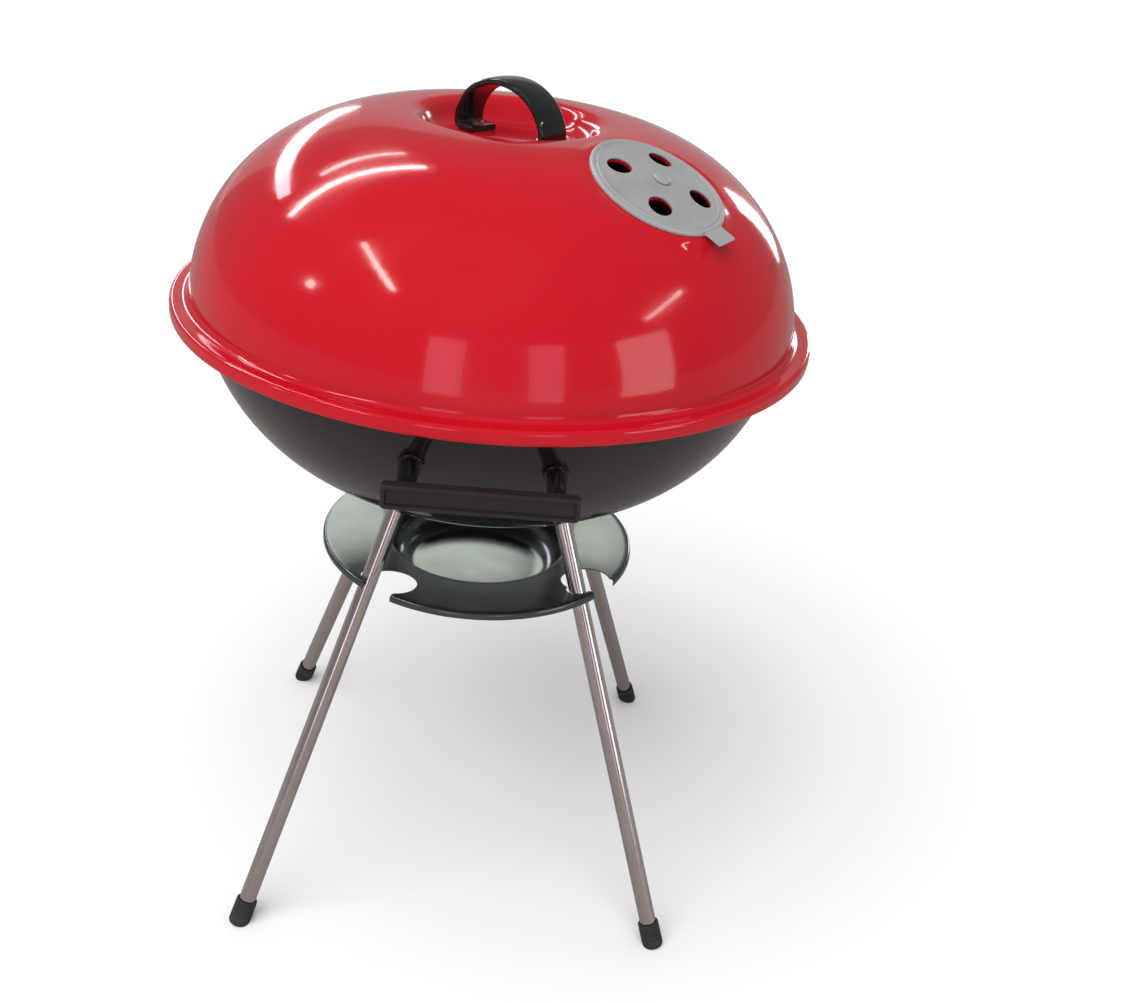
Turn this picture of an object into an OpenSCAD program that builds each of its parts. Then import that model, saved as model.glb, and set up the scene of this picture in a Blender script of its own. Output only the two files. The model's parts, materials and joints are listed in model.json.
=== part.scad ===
// Kettle charcoal grill: a domed lid on a round bowl, four splayed tube legs, a hooked ash catcher.
// Millimetres, +Z up, the feet stand on z = 0 and the bowl's axis is the Z axis.

/* [Lid] */
// Outer radius of the lid's turned-down lip
lid_lip_r = 235; // [200:1:300]
// Height of the lip's lower edge above the ground
lid_lip_z = 468; // [440:1:520]
// Height of the turned-down lip
lid_lip_h = 10; // [6:0.5:16]
// Width of the level flange between the lid's wall and the outside of the lip
lid_flange_w = 13; // [11:0.5:20]
// Height of the crown above the flange
lid_rise = 134; // [100:1:200]
// Radius of the crown's highest ring
lid_crest_r = 72; // [64:1:90]
// Depth of the dished recess in the crown
lid_recess_depth = 16; // [12:0.5:17]
// Sheet thickness of the lid
lid_wall = 1.2; // [0.8:0.1:2]
// Direction that the lid's handle and vent point in, seen from above
lid_turn = -43; // [-60:1:-30]

/* [Lid vent] */
// Place of the vent on the crown: angle of its face's normal above level
vent_pitch = 66; // [62:0.5:70]
// Radius of the lid's vent disc
vent_disc_r = 48.5; // [36:0.5:50]
// Radius of each vent hole
vent_hole_r = 8.5; // [5:0.5:10]
// Radius of the circle that the vent holes stand on
vent_circle_r = 29; // [20:0.5:32]
// Height of the disc's raised edge
vent_edge_h = 3; // [2:0.5:5]
// Turn of the disc from fully open at rest
vent_open_turn = -2; // [-20:1:20]
// Angle of the disc's tab from midway between two holes
vent_tab_turn = 9; // [-15:1:15]
// Height of the shallow dome that the vent's pad and disc share
vent_dome_h = 5.5; // [4:0.5:7]

/* [Lid handle] */
// Outer radius of the arched strap
arch_r = 43; // [36:0.5:43.5]
// Height of the strap above the recess's floor
arch_h = 41.5; // [34:0.5:43]
// Width of the strap
arch_w = 26; // [18:1:34]
// Thickness of the strap
arch_t = 4.5; // [3:0.5:7]
// Length of each foot under the arch
arch_foot = 14; // [12:0.5:16]

/* [Bowl] */
// Outer radius of the bowl's wall at the top
bowl_wall_r = 215; // [185:1:280]
// Depth of the bowl under its rim
bowl_depth = 140; // [110:1:170]
// Sheet thickness of the bowl
bowl_wall = 1.2; // [0.8:0.1:2]
// Radius of the rim's rolled bead
bead_r = 3.5; // [2.5:0.5:5]
// Radius of the bowl's level bottom
bowl_flat_r = 50; // [50:1:60]

/* [Bottom vent] */
// Radius of the bottom damper's disc
damper_disc_r = 44; // [36:0.5:46]
// Radius of each bottom vent hole
damper_hole_r = 9; // [5:0.5:10]
// Radius of the circle that the bottom holes stand on
damper_circle_r = 27; // [22:0.5:28]
// Reach of the damper's tab from the axis
damper_tab_reach = 60; // [52:1:62]

/* [Legs] */
// Radius of the circle that the legs' axes meet the ground on
foot_circle_r = 235; // [200:1:280]
// Lean of each leg from upright
leg_splay = 24; // [16:0.5:26]
// Outer radius of the leg tube
leg_r = 6.5; // [5:0.25:9]
// Wall of the leg tube
leg_wall = 1; // [0.6:0.1:2]
// Length of the socket that holds each leg
socket_len = 14; // [13:0.5:30]
// Height of the foot cap along the leg
cap_len = 20; // [14:0.5:30]

/* [Ash catcher] */
// Outer radius of the brim
ash_r = 125; // [118:1:135]
// Height of the brim's outer edge
ash_z = 278; // [260:1:290]
// Inner radius of the brim, where the dish begins
ash_dish_r = 70; // [50:1:74]
// Depth of the dish under the brim's inner edge
ash_dish_depth = 24; // [14:1:30]
// Rise of the brim from its inner to its outer edge
ash_brim_rise = 5; // [2:0.5:8]
// Height of the brim's turned-down hem
ash_hem_h = 5; // [4:0.5:9]
// Sheet thickness of the ash catcher
ash_wall = 1; // [0.8:0.1:2]
// Radius of each round notch beside a leg
notch_r = 19; // [15:0.5:20]
// Angle from a leg to the middle of its notch
notch_turn = 9; // [8:0.5:10]
// Width of the notch's mouth in the brim's edge
notch_mouth = 27; // [20:0.5:28]

/* [Side handles] */
// Length of the handle bar
bar_len = 120; // [104:1:150]
// Height of the handle bar
bar_h = 16; // [12:0.5:22]
// Thickness of the handle bar
bar_t = 8; // [6:0.5:12]
// Distance between the two spacers of a handle
spacer_pitch = 92; // [70:1:100]
// Outer radius of a spacer
spacer_r = 6.5; // [5:0.25:8]
// Gap between the bowl and the bar at the spacers
bar_gap = 41; // [30:0.5:50]
// Depth of the spacers' axis under the bowl's rim
bar_drop = 41; // [30:0.5:44]

/* [Grates] */
// Outer radius of the cooking grate
cook_grate_r = 203; // [180:1:270]
// Depth of the cooking grate's ring under the bowl's rim
cook_grate_drop = 22; // [14:0.5:24]
// Distance between the cooking grate's rods
cook_rod_pitch = 13; // [11:0.5:18]
// Outer radius of the charcoal grate
coal_grate_r = 150; // [120:1:160]
// Depth of the charcoal grate's ring under the bowl's rim, as a share of the bowl's depth
coal_grate_share = 0.64; // [0.5:0.01:0.65]
// Distance between the charcoal grate's rods
coal_rod_pitch = 22; // [16:1:30]

/* [Fasteners] */
// Radius of every bolt's shank
bolt_r = 2.5; // [2:0.25:3]
// Radius of the vent rivets' shanks
rivet_r = 3; // [2.5:0.25:4]
// Radial clearance of a turning disc on its rivet
turn_fit = 0.05; // [0.03:0.01:0.08]
// Clearance between pieces that lift or turn past each other
lift_fit = 0.3; // [0.3:0.05:0.5]
// Clearance between fixed pieces that slip over each other
slip_fit = 0.2; // [0.1:0.05:0.4]

/* [Hidden] */

$fn = 64;
arc_steps = 14;       // straight steps in each large arc of a profile
far = 400;            // reach of a cutting block

// legs stand at these angles, seen from above
front_left = 225;
front_right = 315;
rear_left = 135;
rear_right = 45;
front = 270;
rear = 90;

// lid
lip_round = 3;
lid_lean = 3;
lid_join = 52;
lid_wall_r = lid_lip_r - lid_flange_w;
flange_z = lid_lip_z + lid_lip_h;
recess_slope = 62;
recess_sum = lid_recess_depth / (1 - cos(recess_slope));
recess_edge_r = recess_sum * 0.45;
recess_foot_r = recess_sum - recess_edge_r;
lid_radii = two_arcs(lid_wall_r - lid_crest_r, lid_rise, lid_lean, lid_join);
crest_z = flange_z + lid_rise;
recess_z = crest_z - lid_recess_depth;

// lid vent: a shallow round dome stands in the crown, and the disc turns on it
vent_rise = 0.7;                      // how far the pad's middle stands above the crown's own curve
vent_pad_r = vent_disc_r + 2.5;
vent_dome_r = (vent_disc_r ^ 2 + vent_dome_h ^ 2) / (2 * vent_dome_h);
vent_pit = 12;                        // deeper than the crown falls under the pad
vent_tab_lift = 1.3;                  // height of the tab above the disc's lower edge
vent_sheet = 1.2;
// Clearance under the domed pad for the flat tail of the vent's rivet
vent_tail_gap = 0.15;
vent_tab_w = 20;
vent_tab_reach = vent_disc_r + 12;
crown_centre = arc_pair_centre(lid_wall_r, flange_z, lid_radii, lid_lean, lid_join);
vent_x = crown_centre[0] + (lid_radii[1] + vent_rise) * cos(vent_pitch);
vent_z = crown_centre[1] + (lid_radii[1] + vent_rise) * sin(vent_pitch);
rivet_head_r = 2 * rivet_r;
rivet_head_h = 2.4;

// lid handle
arch_screw_x = arch_r - arch_t - arch_foot / 2;
screw_head_r = 2 * bolt_r - 0.4;
screw_head_h = 2.4;
nut_r = 2 * bolt_r - 0.2;
nut_h = 4;
washer_r = 2.4 * bolt_r;
washer_t = 1;

// bowl
rim_z = flange_z - lid_wall - lift_fit;
bowl_lean = 4.4;
bowl_join = 62;
bowl_bottom_z = rim_z - bowl_depth;
bowl_radii = two_arcs(bowl_wall_r - bowl_flat_r, bowl_depth, bowl_lean, bowl_join);
bowl_base_centre_z = bowl_bottom_z + bowl_radii[1];
bead_x = bowl_wall_r + 2 * bead_r;

// bottom vent
damper_t = 1.2;
damper_tab_w = 16;
damper_tab_drop = 9;

// legs, measured along their own axes from the ground
leg_seat_r = foot_circle_r - bowl_bottom_z * tan(leg_splay);
leg_seat_z = bowl_under_z(leg_seat_r);
leg_seat = leg_seat_z / cos(leg_splay);
leg_end_gap = 3;
leg_bottom = 3.5;
socket_wall = 1.4;
socket_r = leg_r + slip_fit + socket_wall;
socket_screw_drop = 8.5;
screw_r = 1.9;
cap_fit = 0.05;
cap_wall = 1.9;
cap_r = leg_r + cap_wall;
cap_round = 3;
cap_sole = 2;         // how far the cap goes on past the ground before its sole is cut level

// ash catcher
ash_brim_z = ash_z - ash_brim_rise;
ash_round = 20;
leg_r_at_brim = foot_circle_r - ash_z * tan(leg_splay);
leg_half_at_brim = leg_r / cos(leg_splay);
notch_clear = 1;
notch_centre_r = ash_r - notch_r;

// side handles
bar_z = rim_z - bar_drop;
bar_y = bowl_radius_at(bar_drop) + bar_gap;
bar_corner = 3;
bar_lip = 3;
bar_pocket = 3;
spacer_bore_r = bolt_r + slip_fit;
spacer_collar_r = spacer_r + 2;
spacer_collar = 6;
bolt_bite = 4;

// grates
ring_half = 3;
rod_half = 2;
rod_corner_r = rod_half / cos(22.5);   // corner of an eight-sided rod
rod_sink = 0.6;
tab_w = 18;
tab_t = 2;
tab_reach = 9;
cook_z = rim_z - cook_grate_drop;
coal_z = rim_z - coal_grate_share * bowl_depth;
lift_w = 74;
lift_h = 15;
lift_inset = 26;

// Radii of a wall arc and a crown arc that join smoothly: the pair starts leaning by lean degrees, changes
// radius at join degrees and ends level, and covers run across and rise up.
function two_arcs(run, rise, lean, join) =
    let(a = cos(lean) - cos(join), b = cos(join), c = sin(join) - sin(lean), d = 1 - sin(join))
    [(run * d - rise * b) / (a * d - c * b), (rise * a - run * c) / (a * d - c * b)];

// Centre of the second arc of a pair that starts at radius r0 and height z0.
function arc_pair_centre(r0, z0, radii, lean, join) = [
    r0 - radii[0] * cos(lean) + (radii[0] - radii[1]) * cos(join),
    z0 - radii[0] * sin(lean) + (radii[0] - radii[1]) * sin(join)
];

function arc(centre, r, from, to, steps = arc_steps) =
    [for (i = [0:steps]) let(a = from + (to - from) * i / steps) centre + r * [cos(a), sin(a)]];

// Points of a pair of arcs from the wall to the crest, moved inwards by inset.
function arc_pair(r0, z0, radii, lean, join, inset) =
    let(second = arc_pair_centre(r0, z0, radii, lean, join),
        first = [r0 - radii[0] * cos(lean), z0 - radii[0] * sin(lean)])
    concat(
        arc(first, radii[0] - inset, lean, join),
        [for (i = [1:arc_steps]) let(a = join + (90 - join) * i / arc_steps)
            second + (radii[1] - inset) * [cos(a), sin(a)]]);

// Points of the recess from the crest down to its level floor.
function recess(inset) =
    let(edge = [lid_crest_r, crest_z - recess_edge_r],
        foot = edge + recess_sum * [cos(90 + recess_slope), sin(90 + recess_slope)])
    concat(
        [for (i = [1:6]) let(a = 90 + recess_slope * i / 6)
            edge + (recess_edge_r - inset) * [cos(a), sin(a)]],
        [for (i = [1:6]) let(a = 270 + recess_slope * (1 - i / 6))
            foot + (recess_foot_r + inset) * [cos(a), sin(a)]]);

// Height of the bowl's underside at a radius between its level bottom and its wall arc.
function bowl_under_z(r) =
    bowl_base_centre_z - sqrt(bowl_radii[1] * bowl_radii[1] - (r - bowl_flat_r) * (r - bowl_flat_r));

// Outer radius of the bowl at a depth under its rim, on its wall arc.
function bowl_radius_at(drop) =
    let(a = asin(sin(bowl_lean) + drop / bowl_radii[0]))
    bowl_wall_r - bowl_radii[0] * (cos(bowl_lean) - cos(a));

// Half the length of a chord at distance x from the centre of a circle of radius r.
function half_chord(r, x) = sqrt(r * r - x * x);

module on_leg(angle) {
    rotate([0, 0, angle]) translate([foot_circle_r, 0, 0]) rotate([0, -leg_splay, 0]) children();
}

// Moves its children onto the lid's vent, with +Z out of the pad and +X down the slope.
module on_vent() {
    rotate([0, 0, lid_turn]) translate([vent_x, 0, vent_z]) rotate([0, 90 - vent_pitch, 0]) children();
}

module ring_of_holes(r, circle_r, height, turn = 45) {
    for (i = [0:3])
        rotate([0, 0, turn + 90 * i]) translate([circle_r, 0, 0])
        cylinder(h = height, r = r, center = true);
}

module rounded_bar(length, height, r) {
    square([length - 2 * r, height], center = true);
    square([length, height - 2 * r], center = true);
    for (x = [-1, 1], y = [-1, 1])
        translate([x * (length / 2 - r), y * (height / 2 - r)]) circle(r);
}

// ---- bowl and what is fixed to it ----

// The space inside a skin of the bowl: inset 0 is its outside, inset bowl_wall its inside.
module bowl_form(inset, top) {
    outline = arc_pair(bowl_wall_r, 0, bowl_radii, bowl_lean, bowl_join, inset);
    wall = [for (p = outline) [p[0], rim_z - p[1]]];
    rotate_extrude($fn = 128)
        polygon(concat([[0, rim_z + top], [wall[0][0], rim_z + top]], wall,
            [[0, bowl_bottom_z + inset]]));
}

module bowl() {
    color([0.09, 0.08, 0.08])
    difference() {
        union() {
            bowl_form(0, 0);
            rotate_extrude($fn = 128) {
                translate([bead_x, rim_z - bead_r]) circle(bead_r);
                translate([bowl_wall_r - bowl_wall / 2, rim_z - bowl_wall])
                    square([bead_x - bowl_wall_r + bowl_wall / 2, bowl_wall]);
            }
        }
        bowl_form(bowl_wall, 1);
        translate([0, 0, bowl_bottom_z]) {
            ring_of_holes(damper_hole_r, damper_circle_r, 4 * bowl_wall);
            cylinder(h = 4 * bowl_wall, r = rivet_r, center = true);
        }
        for (side = [front, rear]) handle_bolt_places(side)
            rotate([0, 90, 0]) cylinder(h = 60, r = bolt_r + slip_fit, center = true);
    }
}

module grate_tabs(z, grate_r) {
    intersection() {
        bowl_form(bowl_wall, 0);
        for (i = [0:3]) rotate([0, 0, 90 * i])
            translate([grate_r - tab_reach, -tab_w / 2, z - ring_half - tab_t])
                cube([bowl_wall_r, tab_w, tab_t]);
    }
}

module cooking_grate_tabs() {
    color([0.12, 0.11, 0.11]) grate_tabs(cook_z - lift_fit, cook_grate_r);
}

module charcoal_grate_tabs() {
    color([0.12, 0.11, 0.11]) grate_tabs(coal_z - lift_fit, coal_grate_r);
}

// A rivet through a sheet whose outer face is z = 0: its head stands over a disc of thickness disc_t.
module vent_rivet(sheet, disc_t) {
    head_z = disc_t + 2 * lift_fit;
    translate([0, 0, -sheet - lift_fit]) cylinder(h = sheet + lift_fit + head_z + 0.5, r = rivet_r);
    translate([0, 0, head_z]) cylinder(h = rivet_head_h / 2, r = rivet_head_r);
    translate([0, 0, head_z + rivet_head_h / 2])
    cylinder(h = rivet_head_h / 2, r1 = rivet_head_r, r2 = rivet_r);
    translate([0, 0, -sheet - rivet_head_h / 2]) cylinder(h = rivet_head_h / 2, r = 0.8 * rivet_head_r);
}

module bottom_vent_rivet() {
    color([0.62, 0.62, 0.62])
    translate([0, 0, bowl_bottom_z]) mirror([0, 0, 1]) vent_rivet(bowl_wall, damper_t);
}

module bottom_damper() {
    color([0.55, 0.56, 0.57])
    translate([0, 0, bowl_bottom_z - lift_fit - damper_t]) {
        difference() {
            union() {
                cylinder(h = damper_t, r = damper_disc_r);
                translate([0, -damper_tab_w / 2, 0]) cube([damper_tab_reach, damper_tab_w, damper_t]);
            }
            ring_of_holes(damper_hole_r, damper_circle_r, 4 * damper_t);
            cylinder(h = 4 * damper_t, r = rivet_r + turn_fit, center = true);
        }
        translate([damper_tab_reach - damper_t, -damper_tab_w / 2, -damper_tab_drop])
            cube([damper_t, damper_tab_w, damper_tab_drop + damper_t]);
    }
}

// ---- legs ----

module leg_socket(angle) {
    color([0.1, 0.09, 0.09])
    difference() {
        on_leg(angle) translate([0, 0, leg_seat - socket_len]) difference() {
            cylinder(h = 2 * socket_len, r = socket_r);
            translate([0, 0, -1]) cylinder(h = 2 * socket_len + 2, r = leg_r + slip_fit);
            translate([0, 0, socket_len - socket_screw_drop]) rotate([90, 0, 0])
                cylinder(h = 2 * socket_r, r = screw_r + slip_fit);
        }
        bowl_form(0, 0);
    }
}

module leg(angle) {
    color([0.75, 0.73, 0.72])
    on_leg(angle) difference() {
        translate([0, 0, leg_bottom]) cylinder(h = leg_seat - leg_end_gap - leg_bottom, r = leg_r);
        translate([0, 0, leg_bottom - 1]) cylinder(h = leg_seat, r = leg_r - leg_wall);
        translate([0, 0, leg_seat - socket_screw_drop]) rotate([90, 0, 0])
            cylinder(h = 2 * socket_r, r = screw_r + slip_fit);
    }
}

module leg_screws() {
    color([0.7, 0.7, 0.72])
    for (angle = [front_left, front_right, rear_left, rear_right])
        on_leg(angle) translate([0, 0, leg_seat - socket_screw_drop]) rotate([90, 0, 0]) {
            translate([0, 0, leg_r - 2 * leg_wall])
            cylinder(h = socket_r - leg_r + 3 * leg_wall, r = screw_r);
            translate([0, 0, socket_r]) cylinder(h = screw_head_h, r1 = 2 * screw_r, r2 = 1.5 * screw_r);
        }
}

// A rubber cup on the leg's end, with rounded edges and a sole cut level with the ground.
module foot_cap(angle) {
    color([0.13, 0.13, 0.13])
    difference() {
        on_leg(angle) rotate_extrude() difference() {
            union() {
                translate([0, cap_round - cap_sole])
                    square([cap_r, cap_len + cap_sole - cap_round - cap_wall / 2]);
                translate([0, -cap_sole]) square([cap_r - cap_round, cap_round]);
                translate([cap_r - cap_round, cap_round - cap_sole]) circle(cap_round);
                translate([0, cap_len - cap_wall / 2]) square([cap_r - cap_wall / 2, cap_wall / 2]);
            }
            translate([-far, -far / 2]) square([far, far]);
            translate([0, leg_bottom]) square([leg_r + cap_fit, cap_len]);
        }
        translate([0, 0, -far / 2]) cube([2 * far, 2 * far, far], center = true);
    }
}

// ---- side handles ----

// Places its children on both bolts of a side handle, with +X pointing out of the bowl.
module handle_bolt_places(side) {
    rotate([0, 0, side]) for (y = [-1, 1])
        translate([half_chord(bowl_radius_at(bar_drop), spacer_pitch / 2), y * spacer_pitch / 2, bar_z])
            children();
}

bar_face_x = bar_y - (bowl_radius_at(bar_drop) - half_chord(bowl_radius_at(bar_drop), spacer_pitch / 2));
spacer_len = bar_face_x - half_chord(bowl_radius_at(bar_drop), spacer_pitch / 2);

module handle_bar(side) {
    color([0.17, 0.14, 0.15])
    rotate([0, 0, side]) difference() {
        translate([bar_face_x, 0, bar_z]) rotate([90, 0, 90]) difference() {
            linear_extrude(bar_t) rounded_bar(bar_len, bar_h, bar_corner);
            translate([0, 0, bar_t - bar_pocket]) linear_extrude(bar_pocket + 1)
                rounded_bar(bar_len - 2 * bar_lip, bar_h - 2 * bar_lip, bar_corner / 2);
        }
        for (y = [-1, 1]) translate([bar_face_x, y * spacer_pitch / 2, bar_z]) rotate([0, 90, 0])
            cylinder(h = 2 * bolt_bite, r = bolt_r + slip_fit, center = true);
    }
}

module handle_spacers(side) {
    color([0.12, 0.11, 0.11])
    difference() {
        handle_bolt_places(side) rotate([0, 90, 0]) difference() {
            union() {
                translate([0, 0, -spacer_collar]) cylinder(h = spacer_len + spacer_collar, r = spacer_r);
                translate([0, 0, -spacer_collar]) cylinder(h = 2 * spacer_collar, r = spacer_collar_r);
            }
            translate([0, 0, -2 * spacer_collar]) cylinder(h = 2 * spacer_len, r = spacer_bore_r);
        }
        bowl_form(0, 0);
    }
}

// The bolts come from inside the bowl, through a washer, the wall and the spacer, and bite into the bar.
bolt_seat = 5;        // from the wall's outer face to the washer, which clears the curved wall inside

module side_handle_bolts() {
    color([0.7, 0.7, 0.72])
    for (side = [front, rear]) handle_bolt_places(side) rotate([0, 90, 0]) {
        translate([0, 0, -bolt_seat])
        cylinder(h = bolt_seat + spacer_len + bolt_bite - slip_fit, r = bolt_r);
        translate([0, 0, -bolt_seat - screw_head_h])
            cylinder(h = screw_head_h, r1 = 0.7 * screw_head_r, r2 = screw_head_r);
    }
}

module side_handle_washers() {
    color([0.7, 0.7, 0.72])
    difference() {
        for (side = [front, rear]) handle_bolt_places(side) rotate([0, 90, 0])
            translate([0, 0, -bolt_seat]) difference() {
                cylinder(h = bolt_seat, r = washer_r);
                translate([0, 0, -1]) cylinder(h = bolt_seat + 2, r = bolt_r + slip_fit);
            }
        difference() {
            bowl_form(-20, 0);
            bowl_form(bowl_wall, 1);
        }
    }
}

// ---- grates ----

// A round grate: a square-edged ring with eight-sided rods across it, sunk a little into the ring's top.
module grate(r, z, pitch) {
    ring_r = r - ring_half;
    count = floor((ring_r - 2 * ring_half) / pitch);
    rotate_extrude($fn = 96) translate([ring_r, z]) square(2 * ring_half, center = true);
    for (i = [-count:count])
        translate([i * pitch, 0, z + ring_half + rod_half - rod_sink]) rotate([90, 22.5, 0])
            cylinder(h = 2 * half_chord(ring_r, i * pitch), r = rod_corner_r, center = true, $fn = 8);
}

// Two bars across the rods' underside, each ending inside the ring.
module cross_bars(r, z, offset) {
    for (y = [-1, 1]) translate([0, y * offset, z + ring_half - rod_half - rod_sink / 2])
        rotate([0, 90, 0]) rotate(22.5)
        cylinder(h = 2 * half_chord(r - ring_half, offset), r = rod_corner_r, center = true, $fn = 8);
}

module charcoal_grate() {
    color([0.45, 0.44, 0.43]) {
        grate(coal_grate_r, coal_z, coal_rod_pitch);
        cross_bars(coal_grate_r, coal_z, coal_grate_r / 2);
    }
}

module cooking_grate() {
    color([0.75, 0.75, 0.75]) {
        grate(cook_grate_r, cook_z, cook_rod_pitch);
        cross_bars(cook_grate_r, cook_z, cook_grate_r / 2);
    }
}

// Two bent wires that stand on the cooking grate's rods, to lift it by.
module cooking_grate_lifts() {
    base = cook_z + ring_half + 2 * rod_half - rod_sink;
    color([0.75, 0.75, 0.75])
    for (side = [0, 180]) rotate([0, 0, side]) translate([0, cook_grate_r - lift_inset, base]) {
        for (x = [-1, 1]) translate([x * lift_w / 2, 0, 0]) {
            cylinder(h = lift_h, r = rod_half);
            translate([0, 0, lift_h]) sphere(rod_half);
        }
        translate([0, 0, lift_h]) rotate([0, 90, 0]) cylinder(h = lift_w, r = rod_half, center = true);
    }
}

// ---- lid ----

// The solid under the lid's outer face, or under its inner face when inset is the sheet's thickness.
module lid_form(inset) {
    edge_r = lid_lip_r - inset;
    top = flange_z - inset;
    low = lid_lip_z - inset;
    round_r = lip_round - inset;
    rotate_extrude($fn = 128)
        polygon(concat(
            [[0, low], [edge_r, low]],
            arc([edge_r - round_r, top - round_r], round_r, 0, 90, 5),
            arc_pair(lid_wall_r, flange_z, lid_radii, lid_lean, lid_join, inset),
            recess(inset),
            [[0, recess_z - inset]]));
}

// The ball whose top is the vent's dome, lifted off the pad by lift.
module vent_ball(lift) {
    translate([0, 0, -vent_dome_r]) sphere(vent_dome_r + lift);
}

// The same solid with the vent's domed pad set into it.
module lid_solid(inset) {
    pad_r = vent_pad_r - inset;
    difference() {
        lid_form(inset);
        on_vent() translate([0, 0, -vent_pit]) cylinder(h = 3 * vent_pit, r = pad_r);
    }
    intersection() {
        on_vent() intersection() {
            translate([0, 0, -2 * vent_pit]) cylinder(h = 3 * vent_pit, r = pad_r);
            vent_ball(-inset);
        }
        translate([0, 0, flange_z]) cylinder(h = far, r = lid_wall_r - 10);
    }
}

module lid_shell() {
    color([0.84, 0.08, 0.16])
    difference() {
        lid_solid(0);
        lid_solid(lid_wall);
        on_vent() {
            ring_of_holes(vent_hole_r, vent_circle_r, 20);
            cylinder(h = 20, r = rivet_r, center = true);
        }
        rotate([0, 0, lid_turn]) for (x = [-1, 1]) translate([x * arch_screw_x, 0, recess_z])
            cylinder(h = 20, r = bolt_r + slip_fit, center = true);
    }
}

// A half-round strap that stands in the recess on two feet turned in under it.
module lid_handle() {
    inner = arch_r - arch_t;
    color([0.06, 0.05, 0.05])
    rotate([0, 0, lid_turn]) translate([0, 0, recess_z]) difference() {
        rotate([90, 0, 0]) linear_extrude(arch_w, center = true) {
            intersection() {
                translate([0, arch_h - arch_r]) difference() {
                    circle(arch_r, $fn = 96);
                    circle(inner, $fn = 96);
                }
                translate([-arch_r, 0]) square([2 * arch_r, arch_r]);
            }
            for (x = [-1, 1]) translate([x * (inner - arch_foot / 2), arch_t / 2])
                square([arch_foot + arch_t, arch_t], center = true);
        }
        for (x = [-1, 1]) translate([x * arch_screw_x, 0, 0])
            cylinder(h = 3 * arch_t, r = bolt_r + slip_fit, center = true);
    }
}

// Places its children on the lid handle's two screws, at the level of the recess's floor.
module arch_screw_places() {
    rotate([0, 0, lid_turn]) for (x = [-1, 1]) translate([x * arch_screw_x, 0, recess_z]) children();
}

nut_z = -lid_wall - washer_t - nut_h;

module lid_handle_screws() {
    color([0.72, 0.72, 0.74])
    arch_screw_places() {
        translate([0, 0, nut_z - 2]) cylinder(h = arch_t - nut_z + 2, r = bolt_r);
        translate([0, 0, arch_t]) cylinder(h = screw_head_h, r1 = screw_head_r, r2 = 0.7 * screw_head_r);
    }
}

module lid_handle_washers() {
    color([0.72, 0.72, 0.74])
    arch_screw_places() translate([0, 0, -lid_wall - washer_t]) difference() {
        cylinder(h = washer_t, r = washer_r);
        translate([0, 0, -1]) cylinder(h = washer_t + 2, r = bolt_r + slip_fit);
    }
}

module lid_handle_nuts() {
    color([0.72, 0.72, 0.74])
    arch_screw_places() translate([0, 0, nut_z]) difference() {
        cylinder(h = nut_h, r = nut_r, $fn = 6);
        translate([0, 0, -1]) cylinder(h = nut_h + 2, r = bolt_r);
    }
}

module lid_vent_rivet() {
    color([0.62, 0.62, 0.62]) on_vent() vent_rivet(lid_wall + vent_tail_gap, vent_sheet);
}

// Height of the vent's dome at radius r, lifted off the pad by lift.
function vent_dome_z(r, lift) = sqrt((vent_dome_r + lift) ^ 2 - r ^ 2) - vent_dome_r;

// A shallow domed disc with a raised edge, four holes and a flat tab, which turns on the vent's rivet.
module lid_damper() {
    edge_z = vent_dome_z(vent_disc_r, lift_fit);
    inner_r = vent_disc_r - 2 * vent_sheet;
    color([0.65, 0.66, 0.66])
    on_vent() rotate([0, 0, vent_open_turn]) difference() {
        union() {
            rotate_extrude($fn = 96) polygon(concat(
                [for (i = [0:8]) let(r = vent_disc_r * i / 8) [r, vent_dome_z(r, lift_fit)]],
                [[vent_disc_r, edge_z + vent_edge_h], [inner_r, edge_z + vent_edge_h]],
                [for (i = [8:-1:0]) let(r = inner_r * i / 8) [r, vent_dome_z(r, lift_fit + vent_sheet)]]));
            rotate([0, 0, vent_tab_turn])
                translate([vent_disc_r - vent_sheet, -vent_tab_w / 2, edge_z + vent_tab_lift])
                cube([vent_tab_reach - vent_disc_r + vent_sheet, vent_tab_w, vent_sheet]);
        }
        ring_of_holes(vent_hole_r, vent_circle_r, 20);
        cylinder(h = 20, r = rivet_r + turn_fit, center = true);
    }
}

// ---- ash catcher ----

// The dish and brim between its axis and its hem, as a sheet whose upper face is at inset 0.
function ash_path(inset) =
    let(floor_z = ash_brim_z - ash_dish_depth,
        side_r = ash_dish_r - inset * 0.5)
    concat(
        [[0, floor_z - inset]],
        arc([side_r - ash_round, floor_z + ash_round], ash_round + inset, 270, 350, 8),
        [[ash_dish_r + ash_wall, ash_brim_z - inset], [ash_r - inset, ash_z - inset]]);

module ash_catcher() {
    color([0.24, 0.27, 0.29])
    difference() {
        union() {
            rotate_extrude($fn = 96) polygon(concat(ash_path(0), [
                for (i = [len(ash_path(ash_wall)) - 1:-1:0]) ash_path(ash_wall)[i]]));
            rotate_extrude($fn = 96) translate([ash_r - ash_wall, ash_z - ash_hem_h])
                square([ash_wall, ash_hem_h]);
        }
        for (i = [0:3]) rotate([0, 0, front_right + 90 * i]) notch();
    }
}

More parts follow.
